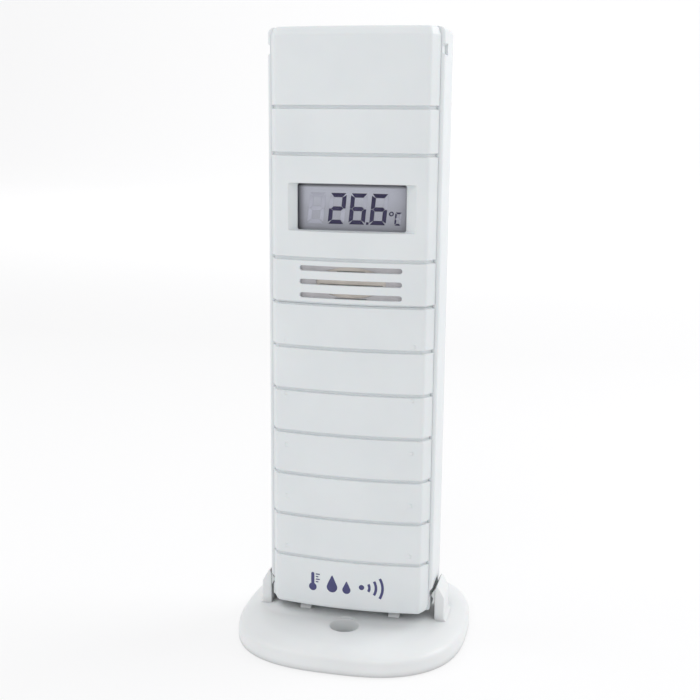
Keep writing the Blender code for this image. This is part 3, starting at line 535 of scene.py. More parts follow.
def softened(mesh, width, segments=3):
    """The mesh with its sharp edges rounded off."""
    thing = new_object("softened", mesh)
    bevel = thing.modifiers.new("bevel", "BEVEL")
    bevel.width = width * MM
    bevel.segments = segments
    bevel.limit_method = "ANGLE"
    bevel.angle_limit = math.radians(35)
    apply_modifiers(thing)
    result = thing.data
    bpy.data.objects.remove(thing)
    return result


def cuts(*meshes):
    return [("DIFFERENCE", mesh) for mesh in meshes]


def unions(*meshes):
    return [("UNION", mesh) for mesh in meshes]


WELD = 0.002


def combined(mesh, steps):
    """The mesh after the exact booleans that cuts and unions list, with its slivers welded."""
    thing = new_object("combined", mesh)
    others = []
    for operation, other_mesh in steps:
        other = new_object("other", other_mesh)
        others.append(other)
        step = thing.modifiers.new("step", "BOOLEAN")
        step.operation = operation
        step.solver = "EXACT"
        step.object = other
    apply_modifiers(thing)
    result = thing.data
    for other in [*others, thing]:
        bpy.data.objects.remove(other)
    shape = bmesh.new()
    shape.from_mesh(result)
    bmesh.ops.remove_doubles(shape, verts=shape.verts, dist=WELD * MM)
    bmesh.ops.dissolve_degenerate(shape, edges=shape.edges, dist=WELD * MM)
    shape.to_mesh(result)
    shape.free()
    return result


def piece(name, mesh, material, body, replaces=()):
    """A visible object on one of the model's bodies, hiding the CAD nodes that it replaces."""
    thing = new_object(name, mesh)
    mesh.name = name
    mesh.materials.clear()
    mesh.materials.append(material)
    mesh.shade_smooth()
    mesh.set_sharp_from_angle(angle=math.radians(SMOOTH_BELOW))
    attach(thing, body)
    if replaces:
        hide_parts(*replaces)


# ---- front panels

WALL = 1.6
RIM_Y = -6.24
PANEL_BACK_Y = -6.36
SEAM_HALF_WIDTH = 18.31
FACE_HALF_WIDTH = 16.73
FACE_EDGE_Y = -9.08
FACE_BOW = 1.52
FACE_EDGE_RADIUS = 0.9
GROOVE_FIRST_LEVEL = 11.87
GROOVE_PITCH = 9.775
GROOVES_BELOW_DISPLAY = 8
DISPLAY_PANEL_HEIGHT = 22.3
GROOVE_DEPTH = 0.5
GROOVE_FLOOR = 0.28
GROOVE_MOUTH = 0.43
PARTING_GROOVE = 6
PARTING_GAP = 0.06


def face_y(x):
    return FACE_EDGE_Y - FACE_BOW * (1 - (x / FACE_HALF_WIDTH) ** 2)


def panel_section(inset, back_y, across=()):
    """A panel's section seen from above, from its right seam round the face to its left seam."""
    run, rise = SEAM_HALF_WIDTH - FACE_HALF_WIDTH, RIM_Y - FACE_EDGE_Y
    sideways = inset * math.hypot(run, rise) / rise
    seam = SEAM_HALF_WIDTH - sideways + run / rise * (back_y - RIM_Y)
    corner = FACE_HALF_WIDTH - sideways + run / rise * inset
    front = [(x, face_y(x) + inset) for x in (corner, *across, -corner)]
    outline = [(seam, back_y), *front, (-seam, back_y)]
    last = len(front)
    return rounded(outline, {1: FACE_EDGE_RADIUS, last: FACE_EDGE_RADIUS}, steps=8)


def groove_levels():
    lower = [GROOVE_FIRST_LEVEL + GROOVE_PITCH * step for step in range(GROOVES_BELOW_DISPLAY)]
    above = lower[-1] + DISPLAY_PANEL_HEIGHT
    return [*lower, above, above + GROOVE_PITCH]


PARTING_LEVEL = groove_levels()[PARTING_GROOVE]


def groove_stations():
    """(level, inset) pairs over every groove, with soft lips and a soft floor."""
    stations = []
    for middle in groove_levels():
        for side in (-1, 1):
            for step in range(7):
                share = step / 6
                away = GROOVE_FLOOR + (GROOVE_MOUTH - GROOVE_FLOOR) * share
                inset = GROOVE_DEPTH * (1 + math.cos(math.pi * share)) / 2
                stations.append((middle + side * away, inset))
    return stations


# How the face is divided: its reach to each side, and rings kept clear of the grooves.
FACE_REACH = 15.4
FACE_STEPS = 26
PLAIN_STEPS = 24
GROOVE_CLEARANCE = 0.8
ROOM_REACH = 15.0
ROOM_BACK_Y = -5.0


def panel_shell(low, high, ends):
    """A solid panel with grooves across its face. The ends are (level, inset) pairs."""
    across = [FACE_REACH * (1 - 2 * step / FACE_STEPS) for step in range(FACE_STEPS + 1)]
    stations = [s for s in groove_stations() if low < s[0] < high]
    for step in range(1, PLAIN_STEPS):
        plain = low + (high - low) * step / PLAIN_STEPS
        if all(abs(plain - groove) > GROOVE_CLEARANCE for groove in groove_levels()):
            stations.append((plain, 0.0))
    rings = []
    for at, inset in sorted(stations + ends):
        section = panel_section(inset, PANEL_BACK_Y, across)
        rings.append([(x, y, level(at)) for x, y in section])
    return loft(rings)


def panel_room(low, high):
    """The room behind a panel's wall."""
    across = [ROOM_REACH * (1 - step / 8) for step in range(17)]
    return prism(panel_section(WALL, ROOM_BACK_Y, across), "Z", level(low), level(high))


# The display opening and the vents.
OPENING_HALF_WIDTH = 11.9
OPENING_HALF_HEIGHT = 4.95
FUNNEL_BACK_Y = -8.1
FUNNEL_FACE_Y = -9.5
FUNNEL_LEFT_X = -13.6
FUNNEL_RIGHT_X = 14.35
FUNNEL_RISE = 0.08
OUTSIDE_Y = -12.0
VENT_MIDDLE_X = 0.28
VENT_LEVELS = [72.4, 75.35, 78.3]
VENT_HALF_WIDTH = 11.3
VENT_HEIGHT = 1.15
VENT_FRONT = -3.0
VENT_DEPTH = 2.2


def funnel_cutter():
    """Cuts the display opening: sloping side faces, and nearly straight upper and lower ones."""
    rings = []
    for y in (OUTSIDE_Y, FUNNEL_BACK_Y + 0.5):
        share = (y - FUNNEL_BACK_Y) / (FUNNEL_FACE_Y - FUNNEL_BACK_Y)
        left = -OPENING_HALF_WIDTH + (FUNNEL_LEFT_X + OPENING_HALF_WIDTH) * share
        right = OPENING_HALF_WIDTH + (FUNNEL_RIGHT_X - OPENING_HALF_WIDTH) * share
        half_height = OPENING_HALF_HEIGHT + FUNNEL_RISE * (FUNNEL_BACK_Y - y)
        low, high = level(DISPLAY_LEVEL - half_height), level(DISPLAY_LEVEL + half_height)
        rings.append([(x, y, z) for x, z in soft_rectangle(left, low, right, high, 0.4, 4)])
    return loft(rings)


SLAB_TIP = 0.02


def bowed_slab(half_width, half_height, middle, front, back, square=False):
    """A slab behind the bowed face, between two depths below it, with round or square ends."""
    radius = half_height * (0.1 if square else 1.0)
    straight = half_width - radius
    tips = [straight + radius * s for s, _ in arc_steps(7)[1:]]
    plain = [straight * (1 - step / 10) for step in range(21)]
    places = [*reversed(tips), *plain, *[-x for x in tips]]
    rings = []
    for across in places:
        beyond = max(0.0, abs(across) - straight) / radius
        half = max(SLAB_TIP, half_height * math.sqrt(max(0.0, 1 - beyond**2)))
        x = across + VENT_MIDDLE_X
        near, far = face_y(x) + front, face_y(x) + back
        low, high = level(middle) - half, level(middle) + half
        rings.append([(x, near, low), (x, far, low), (x, far, high), (x, near, high)])
    return loft(rings)


def vent_cutter(middle):
    """A slot with round ends, whose floor follows the bowed face."""
    return bowed_slab(VENT_HALF_WIDTH, VENT_HEIGHT / 2, middle, VENT_FRONT, VENT_DEPTH)


# The plate and felt behind the vents. Fronts and backs are depths below the face.
FILTER_HALF_WIDTH = 7.7
FILTER_HALF_HEIGHT = 3.36
PLATE_HALF_WIDTH = VENT_HALF_WIDTH + 0.3
PLATE_HALF_HEIGHT = 3.8
PLATE_FRONT, PLATE_BACK = 0.95, 1.15
WINDOW_BACK_Y = -8.0
SLIT_HALF_WIDTHS = (3.6, 7.0, 3.2)
SLIT_HALF_HEIGHT = 0.15
SLIT_DROP = 0.02
SLIT_FRONT, SLIT_BACK = 0.9, 2.1
FELT_HALF_WIDTH = FILTER_HALF_WIDTH + 0.5
FELT_HALF_HEIGHT = 3.9
FELT_FRONT, FELT_BACK = 1.18, 1.95


def build_filter():
    """The plate behind the vents, white plastic painted grey for the shade it sits in, and the felt that
    shows through its oval window.
    """
    middle = VENT_LEVELS[1]
    plate = bowed_slab(PLATE_HALF_WIDTH, PLATE_HALF_HEIGHT, middle, PLATE_FRONT, PLATE_BACK, True)
    felt = bowed_slab(FELT_HALF_WIDTH, FELT_HALF_HEIGHT, middle, FELT_FRONT, FELT_BACK, True)
    oval = ellipse((VENT_MIDDLE_X, level(middle)), FILTER_HALF_WIDTH, FILTER_HALF_HEIGHT, 96)
    slits = []
    for vent, half_width in zip(VENT_LEVELS, SLIT_HALF_WIDTHS):
        low = vent - VENT_HEIGHT / 2 - SLIT_DROP
        slits += cuts(bowed_slab(half_width, SLIT_HALF_HEIGHT, low, SLIT_FRONT, SLIT_BACK))
    openings = cuts(prism(oval, "Y", OUTSIDE_Y, WINDOW_BACK_Y)) + slits
    piece("vent_plate", combined(plate, openings), PLATE_PAINTED_SHADE, SENSOR)
    piece("vent_felt", combined(felt, slits), FELT, SENSOR, ["filter_pad"])


# Screw places, and rods along Y at them: (start, end, radius, sides).
HOUSING_SCREWS = [(x, level(at)) for at in (75.0, 124.0) for x in (-14.0, 14.0)]
FRONT_BOSS = (-8.6, 0.3, 2.2, 32)
FRONT_PILOT = (-5.2, 1.0, 1.25, 24)
SURROUND_HALF_WIDTH = 15.0
SURROUND_FRONT_Y = -9.0
SURROUND_HALF_HEIGHT = OPENING_HALF_HEIGHT + 1.5
FRONT_ROOM_LEVEL = 60.0
TOP_MARGIN = 2.0

# The sloping band along the upper end: (distance below the top, inset).
TOP_BAND = [(1.85, 0.0), (1.72, 0.01), (1.6, 0.05), (0.6, 0.36)]
TOP_BAND += [(0.35, 0.47), (0.15, 0.64), (0.04, 0.82), (0.0, 1.0)]


def build_front_panel():
    low, top = PARTING_LEVEL + PARTING_GAP / 2, MODULE_HEIGHT
    ends = [(low, GROOVE_DEPTH), *((top - below, inset) for below, inset in TOP_BAND)]
    shell = panel_shell(low, top - TOP_MARGIN, ends)
    surround = block(
        (-SURROUND_HALF_WIDTH, SURROUND_HALF_WIDTH),
        (SURROUND_FRONT_Y, FUNNEL_BACK_Y),
        (DISPLAY_LEVEL - SURROUND_HALF_HEIGHT, DISPLAY_LEVEL + SURROUND_HALF_HEIGHT),
    )
    steps = cuts(panel_room(FRONT_ROOM_LEVEL, top - WALL)) + unions(surround)
    for spot in HOUSING_SCREWS:
        steps += unions(rod("Y", spot, *FRONT_BOSS)) + cuts(rod("Y", spot, *FRONT_PILOT))
    steps += cuts(funnel_cutter(), *(vent_cutter(middle) for middle in VENT_LEVELS))
    piece("front_panel", combined(shell, steps), WHITE, SENSOR, ["front_shell"])


HINGE_RADIUS = 1.5
HINGE_Y = -8.04
HINGE_EDGE_Y = HINGE_Y + HINGE_RADIUS
HINGE_LEVEL = HINGE_RADIUS
FINGER_X = 6.0
FINGER_HALF_WIDTH = 1.5
HINGE_BEAD_RADIUS = 0.9
GAP = 0.3

# The cover's finger slots, the latch tongue at its upper edge, and the ribs across its inside.
SLOT_Y = (HINGE_Y - HINGE_BEAD_RADIUS - GAP, PANEL_BACK_Y + 1.0)
SLOT_LEVELS = (-1.0, HINGE_LEVEL + HINGE_BEAD_RADIUS + GAP)
TONGUE_X = (-4.0, 4.0)
TONGUE_Y = (PANEL_BACK_Y - 0.8, -4.3)
TONGUE_DROP = (1.4, 0.3)
RIB_LEVELS = (14.0, 26.0, 38.0, 50.0, 62.0)
RIB_X = (-14.6, 14.6)
RIB_Y = (-9.6, -7.75)
RIB_HALF_HEIGHT = 0.4


def hinge_edge_cutter():
    """Rounds the cover's lower rear edge about its hinge axis."""
    middle, out = level(HINGE_LEVEL), 0.5
    curve = [(HINGE_Y + HINGE_RADIUS * c, middle - HINGE_RADIUS * s) for s, c in arc_steps(10)]
    low, back = level(0.0) - out, HINGE_EDGE_Y + out
    return prism([*curve, (HINGE_Y, low), (back, low), (back, middle + 0.25)], "X", -20.0, 20.0)


def build_cover():
    top = PARTING_LEVEL - PARTING_GAP / 2
    ends = [(0.9 * (1 - s), 0.7 * (1 - c)) for s, c in arc_steps(7)] + [(top, GROOVE_DEPTH)]
    steps = cuts(panel_room(WALL, top - WALL), hinge_edge_cutter())
    half = FINGER_HALF_WIDTH + GAP
    for x in (-FINGER_X, FINGER_X):
        steps += cuts(block((x - half, x + half), SLOT_Y, SLOT_LEVELS))
    tongue = block(TONGUE_X, TONGUE_Y, [top - drop for drop in TONGUE_DROP])
    steps += unions(softened(tongue, 0.2))
    for middle in RIB_LEVELS:
        rib = block(RIB_X, RIB_Y, (middle - RIB_HALF_HEIGHT, middle + RIB_HALF_HEIGHT))
        steps += unions(softened(rib, 0.12, 2))
    cover = combined(panel_shell(1.0, top, ends), steps)
    piece("battery_cover_panel", cover, WHITE, COVER, ["battery_cover"])


# ---- rear housing

MODULE_HALF_WIDTH = 19.1
MODULE_HALF_DEPTH = 10.6
BACK_CORNER_RADIUS = 6.0
RIM_EDGE_RADIUS = 0.65
END_EDGE_RADIUS = 1.3
BAY_TOP_LEVEL = 60.0
NOTCH_DEPTH = 0.8
NOTCH_BACK_Y = 1.4
NOTCH_OUTER = (2.3, 5.4)
NOTCH_INNER = (3.0, 4.6)
TOP_NOTCH_DROP = 0.7
TOP_NOTCH_BACK_Y = -2.3
TOP_NOTCH_DEPTH = 0.6
CELL_X = 8.1
BOARD_BACK_Y = -0.4
BOARD_POSTS = [(x, level(at)) for at in (115.0, 84.0) for x in (-13.8, 13.8)]
BOARD_SCREWS = BOARD_POSTS[:2]
SCREW_SEAT_Y = 6.0
INNER_BACK_Y = 9.3
LABEL_LEVEL = 40.0
LABEL_SIZE = {"half_width": 12.0, "half_height": 20.0, "radius": 0.9}
LABEL_RECESS = {"half_width": 12.3, "half_height": 20.3, "radius": 1.1}
LABEL_BACK_Y = 10.5

# Rods along Y: (start, end, radius, sides).
REAR_BOSS = (0.6, 9.05, 2.9)
HEAD_BORE = (SCREW_SEAT_Y, 12.0, 2.2)
SHANK_BORE = (-1.0, 8.0, 1.35, 24)
BOARD_POST = (BOARD_BACK_Y + GAP, INNER_BACK_Y, 2.2, 32)
BOARD_BORE = (-1.5, 6.0, 1.15, 24)

# Blocks: (two x, two y, two levels). ARM's x count from a finger, and WIRE_HOLE's from a cell.
BAY_LIP = ((-17.6, 17.6), (RIM_Y + 0.02, RIM_Y + 1.2), (BAY_TOP_LEVEL + 0.5, 72.0))
LEDGE = ((-14.5, 14.5), (-4.0, INNER_BACK_Y), (1.0, 3.3))
CELL_RIB = ((-0.5, 0.5), (3.0, INNER_BACK_Y), (12.0, 52.0))
ARM = ((0.01 - FINGER_HALF_WIDTH, FINGER_HALF_WIDTH - 0.01), (HINGE_Y, -5.5), (0.75, 1.45))
LATCH_SLOT = ((-4.4, 4.4), (RIM_Y - 1.0, -4.0), (68.65, 70.6))
WIRE_HOLE = ((-2.0, 2.0), (3.6, 5.4), (BAY_TOP_LEVEL - 1.0, BAY_TOP_LEVEL + 3.0))
RAIL_CUTS = [
    ((near, near + 2.5), (RIM_Y - 1.0, NOTCH_BACK_Y), (-1.0, NOTCH_INNER[0])) for near in (-21.0, 18.5)
]


def housing_section(inset, front_y, front_radius):
    half_width, back_y = MODULE_HALF_WIDTH - inset, MODULE_HALF_DEPTH - inset
    section = [(half_width, front_y), (half_width, back_y), (-half_width, back_y), (-half_width, front_y)]
    back = BACK_CORNER_RADIUS - inset
    return rounded(section, {0: front_radius, 1: back, 2: back, 3: front_radius}, steps=14)


def housing_block():
    edge = END_EDGE_RADIUS
    ends = [(edge * (1 - s), edge * 0.9 * (1 - c)) for s, c in arc_steps(7)]
    rings = []
    for at, inset in sorted(ends) + sorted((MODULE_HEIGHT - at, inset) for at, inset in ends):
        section = housing_section(inset, RIM_Y, RIM_EDGE_RADIUS)
        rings.append([(x, y, level(at)) for x, y in section])
    return loft(rings)


def notch_cutter(side, from_top):
    """A notch in a side rail, near one end of the housing."""
    depth = TOP_NOTCH_DEPTH if from_top else NOTCH_DEPTH
    out_x, in_x = MODULE_HALF_WIDTH + 0.5, MODULE_HALF_WIDTH - depth
    flare = 0.0 if from_top else 0.5
    levels = [NOTCH_OUTER[0] - flare, NOTCH_INNER[0], NOTCH_INNER[1], NOTCH_OUTER[1] + flare]
    if from_top:
        levels = [MODULE_HEIGHT - TOP_NOTCH_DROP - at for at in levels]
    outline = [(side * x, level(at)) for x, at in zip((out_x, in_x, in_x, out_x), levels)]
    soft = rounded(outline, {1: 0.3, 2: 0.3}, steps=4)
    return prism(soft, "Y", RIM_Y - 1.0, TOP_NOTCH_BACK_Y if from_top else NOTCH_BACK_Y)


def housing_additions():
    """The bay's upper wall and lip, a ledge, a rib between the cells, bosses, posts and hinge beads."""
    wall = housing_section(WALL - 0.2, RIM_Y + 0.01, 0.2)
    bay_wall = prism(wall, "Z", level(BAY_TOP_LEVEL), level(BAY_TOP_LEVEL + 1.4))
    pieces = [bay_wall, block(*BAY_LIP), softened(block(*LEDGE), 0.2), block(*CELL_RIB)]
    pieces += [rod("Y", spot, *REAR_BOSS) for spot in HOUSING_SCREWS]
    pieces += [rod("Y", spot, *BOARD_POST) for spot in BOARD_POSTS]
    for x in (-FINGER_X, FINGER_X):
        pieces.append(shifted_block(x, *ARM))
        ends = (x - FINGER_HALF_WIDTH, x + FINGER_HALF_WIDTH)
        pieces.append(rod("X", (HINGE_Y, level(HINGE_LEVEL)), *ends, HINGE_BEAD_RADIUS, 32))
    return pieces


def shifted_block(x, across, along, levels):
    return block([x + value for value in across], along, levels)


def housing_cutters():
    """Screw holes, latch slot, wire holes, notches and the label's recess."""
    cutters = []
    for spot in HOUSING_SCREWS:
        cutters += [rod("Y", spot, *HEAD_BORE), rod("Y", spot, *SHANK_BORE)]
    cutters += [rod("Y", spot, *BOARD_BORE) for spot in BOARD_SCREWS]
    cutters.append(block(*LATCH_SLOT))
    for side, rail_cut in zip((-1, 1), RAIL_CUTS):
        cutters.append(shifted_block(side * CELL_X, *WIRE_HOLE))
        cutters += [notch_cutter(side, False), notch_cutter(side, True), block(*rail_cut)]
    return [*cutters, label_shape(10.2, 11.6, **LABEL_RECESS)]


def label_shape(front_y, back_y, half_width, half_height, radius):
    low, high = level(LABEL_LEVEL) - half_height, level(LABEL_LEVEL) + half_height
    outline = soft_rectangle(-half_width, low, half_width, high, radius, 8)
    return prism(outline, "Y", front_y, back_y)


# The label's printed frame, its bars (length, height) and its row of fine upright bars.
FRAME_HALF_WIDTH, FRAME_HALF_HEIGHT, FRAME_LINE = 10.6, 18.4, 0.22
LABEL_BARS = [(9.0, 1.1), (12.5, 0.5), (8.0, 0.5), (14.0, 0.5), (10.5, 0.5), (13.0, 0.5)]
BARS_RIGHT_X = 9.2
BARS_TOP = FRAME_HALF_HEIGHT - 3.4
BAR_SPACE = 1.9
FINE_BARS = 15
FINE_LEFT_X = -7.4
FINE_LOW, FINE_HIGH = -15.6, -10.6


def build_label_print():
    """Plain bars and a frame on the label, where a rating plate carries its print."""
    line, wide, tall = FRAME_LINE, FRAME_HALF_WIDTH, FRAME_HALF_HEIGHT
    shapes = []
    for side in (-1, 1):
        edge = side * wide
        shapes.append(rectangle(edge - line, -tall - line, edge + line, tall + line))
        edge = side * tall
        shapes.append(rectangle(-wide, edge - line, wide, edge + line))
    up = BARS_TOP
    for length, height in LABEL_BARS:
        shapes.append(rectangle(BARS_RIGHT_X - length, up - height, BARS_RIGHT_X, up))
        up -= BAR_SPACE + height
    for bar in range(FINE_BARS):
        left, width = FINE_LEFT_X + bar, 0.3 + 0.2 * (bar * 7 % 3)
        shapes.append(rectangle(left, FINE_LOW, left + width, FINE_HIGH))
    marks = bmesh.new()
    for outline in shapes:
        spots = [(x, level(LABEL_LEVEL) + z) for x, z in outline]
        add_plate(marks, *([(x, LABEL_BACK_Y + out, z) for x, z in spots] for out in (-0.02, 0.03)))
    piece("label_print", mesh_of(marks), LABEL_INK, SENSOR)


def build_rear_housing():
    inside = housing_section(WALL, RIM_Y - 1.0, 0.1)
    room = prism(inside, "Z", level(WALL), level(MODULE_HEIGHT - WALL))
    steps = cuts(room) + unions(*housing_additions()) + cuts(*housing_cutters())
    shell = combined(housing_block(), steps)
    piece("rear_housing", shell, WHITE, SENSOR, ["rear_shell"])
    label = label_shape(10.3, LABEL_BACK_Y, **LABEL_SIZE)
    piece("back_label", label, PAPER, SENSOR, ["rating_label"])
    build_label_print()


HEAD_RADIUS = 1.9
HEAD_HEIGHT = 1.5
SHANK_LENGTH = 10.6
THREAD_RADIUS = 0.95
THREAD_STEPS = 23
RECESS_ARMS = ((1.05, 0.26), (0.26, 1.05))
SCREW_TURN = 23


def build_housing_screws():
    """Pan-head screws with a cross recess, in the back of the housing."""
    for number, (x, z) in enumerate(HOUSING_SCREWS, 1):
        profile = [(0.0, -SHANK_LENGTH), (0.45, -SHANK_LENGTH), (0.9, -9.6)]
        for step in range(THREAD_STEPS):
            profile.append((THREAD_RADIUS + 0.05 * (step % 2), 0.4 * step - 9.4))
        profile += [(1.0, 0.0), (HEAD_RADIUS, 0.0), (HEAD_RADIUS, 0.55 * HEAD_HEIGHT)]
        for s, c in arc_steps(6)[1:]:
            profile.append((HEAD_RADIUS * (0.66 + 0.34 * c), HEAD_HEIGHT * (0.55 + 0.45 * s)))
        body = turned([*profile, (0.0, HEAD_HEIGHT)], (0.0, 0.0), 40)
        recess = (HEAD_HEIGHT * 0.45, HEAD_HEIGHT + 0.3)
        arms = [prism(rectangle(-w, -t, w, t), "Z", *recess) for w, t in RECESS_ARMS]
        screw = combined(body, cuts(*arms))
        turn = Matrix.Rotation(math.radians(-90), 4, "X")
        spin = Matrix.Rotation(math.radians(SCREW_TURN * number), 4, "Y")
        seat = Vector((x, SCREW_SEAT_Y + GAP, z)) * MM
        screw.transform(Matrix.Translation(seat) @ spin @ turn)
        name = f"housing_screw_{number}"
        piece(f"cross_screw_{number}", screw, STEEL, SENSOR, [name])


CELL_RADIUS = 7.2
CELL_LENGTH = 50.5
CELL_Y = 0.9
CELL_LOW = {"left": 8.5, "right": 4.3}
CAN_RADIUS = CELL_RADIUS - 0.12
CAP_RADIUS = 2.75
FOIL_WIDTH = 11.0


def build_cells():
    """Two AA cells: a printed wrap over a steel can, one of each end up."""
    cap, shoulder, soft, side_x = CAP_RADIUS, CELL_LENGTH - 1.4, 0.35, CAN_RADIUS - 0.5
    can = [(0.0, 0.0), (side_x, 0.0)]
    can += [(side_x + 0.5 * s, 0.5 * (1 - c)) for s, c in arc_steps(4)[1:]]
    can += [(CAN_RADIUS, shoulder - 0.4)]
    can += [(side_x + 0.5 * c, shoulder - 0.5 * (1 - s)) for s, c in arc_steps(4)]
    can += [(cap + 1.2, shoulder), (cap + 1.0, shoulder - 0.3), (cap + 0.2, shoulder - 0.3)]
    can += [(cap, shoulder)]
    can += [(cap - soft * (1 - c), CELL_LENGTH - soft * (1 - s)) for s, c in arc_steps(4)]
    can += [(0.0, CELL_LENGTH)]
    low, high, under = 0.9, shoulder - 0.5, CELL_RADIUS - 0.1
    wrap = [(CAN_RADIUS - 0.3, low - 0.4), (CELL_RADIUS - 0.05, low - 0.4)]
    wrap += [(CELL_RADIUS, low), (CELL_RADIUS, high), (under, high + 0.4)]
    wrap += [(CAN_RADIUS - 0.6, high + 0.55), (CAN_RADIUS - 0.6, high), (CAN_RADIUS - 0.3, high - 0.2)]
    foil_low, foil_high, proud = high - FOIL_WIDTH, high - 0.2, CELL_RADIUS + 0.03
    foil = [(under, foil_low), (CELL_RADIUS, foil_low), (proud, foil_low + 0.1)]
    foil += [(proud, foil_high), (under, foil_high)]
    for word, low in CELL_LOW.items():
        flipped = word == "right"
        spot = (CELL_X if flipped else -CELL_X, CELL_Y, level(low) + (CELL_LENGTH if flipped else 0))
        place = Matrix.Translation(Vector(spot) * MM)
        if flipped:
            place = place @ Matrix.Scale(-1, 4, (0, 0, 1))
        for kind, mesh, material, slot in (
            ("can", turned(can, (0.0, 0.0), 64), STEEL, "bare_metal"),
            ("wrap", band(wrap, 64), WRAP, "cell_wrap"),
            ("foil", band(foil, 64), CELL_BAND, "cell_wrap"),
        ):
            mesh.transform(place)
            if flipped:
                mesh.flip_normals()
            replaced = [f"battery_{word}"] if kind == "wrap" else []
            piece(f"cell_{word}_{kind}", mesh, material, SENSOR, replaced)


def band(profile, sides):
    """A ring about the vertical axis, through a closed profile of (radius, height)."""
    rings = []
    for step in range(sides):
        turn = 2 * math.pi * step / sides
        rings.append([(r * math.cos(turn), r * math.sin(turn), z) for r, z in profile])
    return loft(rings, closed=True)


# ---- stand

STAND_TOP = 5.0
PLINTH_HALF_WIDTH = 20.6
PLINTH_HALF_DEPTH = 10.4
PLINTH_SLOPE = 4.2
PLINTH_RISE = 1.0
PLINTH_SQUARENESS = 6.0
# Rings of the foot and of its hollow: (height, half width, half depth, squareness).
STAND_RINGS = [
    (0.0, 26.3, 25.7, 2.7),
    (0.12, 26.48, 25.88, 2.7),
    (0.4, 26.58, 25.98, 2.7),
    (1.6, 26.58, 25.98, 2.7),
    (2.8, 26.5, 25.9, 2.7),
    (3.25, 26.35, 25.75, 2.68),
    (3.6, 26.1, 25.5, 2.65),
    (3.88, 25.8, 25.16, 2.62),
    (4.1, 25.45, 24.75, 2.58),
    (4.32, 25.0, 24.2, 2.53),
    (4.52, 24.5, 23.55, 2.47),
    (4.7, 23.95, 22.8, 2.4),
    (4.85, 23.4, 22.05, 2.34),
    (4.94, 22.95, 21.45, 2.28),
    (STAND_TOP, 22.5, 20.9, 2.2),
]
STAND_CAVITY_RINGS = [
    (-1.0, 24.4, 23.8, 2.7),
    (1.6, 24.4, 23.8, 2.7),
    (2.4, 23.4, 22.7, 2.6),
    (3.0, 21.4, 20.4, 2.4),
]
SCREW_HOLE_Y = 12.0
COUNTERBORE_RADIUS = 3.3
SCREW_HOLE_RADIUS = 1.9
COUNTERBORE_DEPTH = 3.2
SUPPORT_RIB_X = 10.45
SUPPORT_RIB_WIDTH = 2.55
SUPPORT_RIB_END_Y = 7.24
HOLE_SLEEVE_RADIUS = 5.0
PLINTH_STEPS = 14
CLIP_INNER_X = 19.5
CLIP_OUTER_X = 21.7
CLIP_NOSE_X = 18.65
CLIP_FRONT_Y = -4.74
CLIP_BACK_Y = 3.3
CLIP_NOSE_BACK_Y = 0.8
CLIP_NOSE_LEVEL = 3.1


def superellipse(height, half_width, half_depth, power, steps=192):
    ring = []
    for step in range(steps):
        turn = 2 * math.pi * step / steps
        across, along = math.cos(turn), math.sin(turn)
        x = half_width * math.copysign(abs(across) ** (2 / power), across)
        y = half_depth * math.copysign(abs(along) ** (2 / power), along)
        ring.append((x, y, height))
    return ring


NOSE_MIDDLE = level(CLIP_NOSE_LEVEL)
NOSE_HALF_HEIGHT = 1.5


def clip_post(side):
    """One clip: a post with a sloping outer top and a soft foot."""
    root, outer = CLIP_OUTER_X + 0.7, CLIP_OUTER_X
    points = [(CLIP_INNER_X, 3.6), (root, 3.6), (root, STAND_TOP - 0.1), (outer, STAND_TOP + 0.6)]
    points += [(outer, level(2.6)), (outer - 1.4, level(5.1)), (CLIP_INNER_X + 0.4, level(5.4))]
    points += [(CLIP_INNER_X, NOSE_MIDDLE + NOSE_HALF_HEIGHT)]
    smooth = rounded(points, {3: 0.6, 4: 0.5, 5: 0.3}, steps=5)
    post = prism([(side * x, z) for x, z in smooth], "Y", CLIP_FRONT_Y, CLIP_BACK_Y)
    return softened(post, 0.2)


def clip_nose(side):
    low, high = NOSE_MIDDLE - NOSE_HALF_HEIGHT, NOSE_MIDDLE + NOSE_HALF_HEIGHT
    inner, root = CLIP_INNER_X, CLIP_INNER_X + 0.5
    points = [(root, low), (inner, low), (CLIP_NOSE_X, NOSE_MIDDLE), (inner, high), (root, high)]
    smooth = rounded(points, {2: 0.3}, steps=5)
    return prism([(side * x, z) for x, z in smooth], "Y", CLIP_FRONT_Y + 0.2, CLIP_NOSE_BACK_Y)


def plinth_rings():
    """Rings of the low plinth, which rises from the foot in one soft S-shaped slope."""
    rings = [(STAND_TOP - 1.0, PLINTH_HALF_WIDTH, PLINTH_HALF_DEPTH, PLINTH_SQUARENESS)]
    for step in range(PLINTH_STEPS + 1):
        share = step / PLINTH_STEPS
        up = PLINTH_RISE * (1 - math.cos(math.pi * share)) / 2
        inset = PLINTH_SLOPE * share
        size = (PLINTH_HALF_WIDTH - inset, PLINTH_HALF_DEPTH - inset)
        rings.append((STAND_TOP + up, *size, PLINTH_SQUARENESS))
    return rings


def stand_solid(rings):
    return loft([superellipse(*ring) for ring in rings])


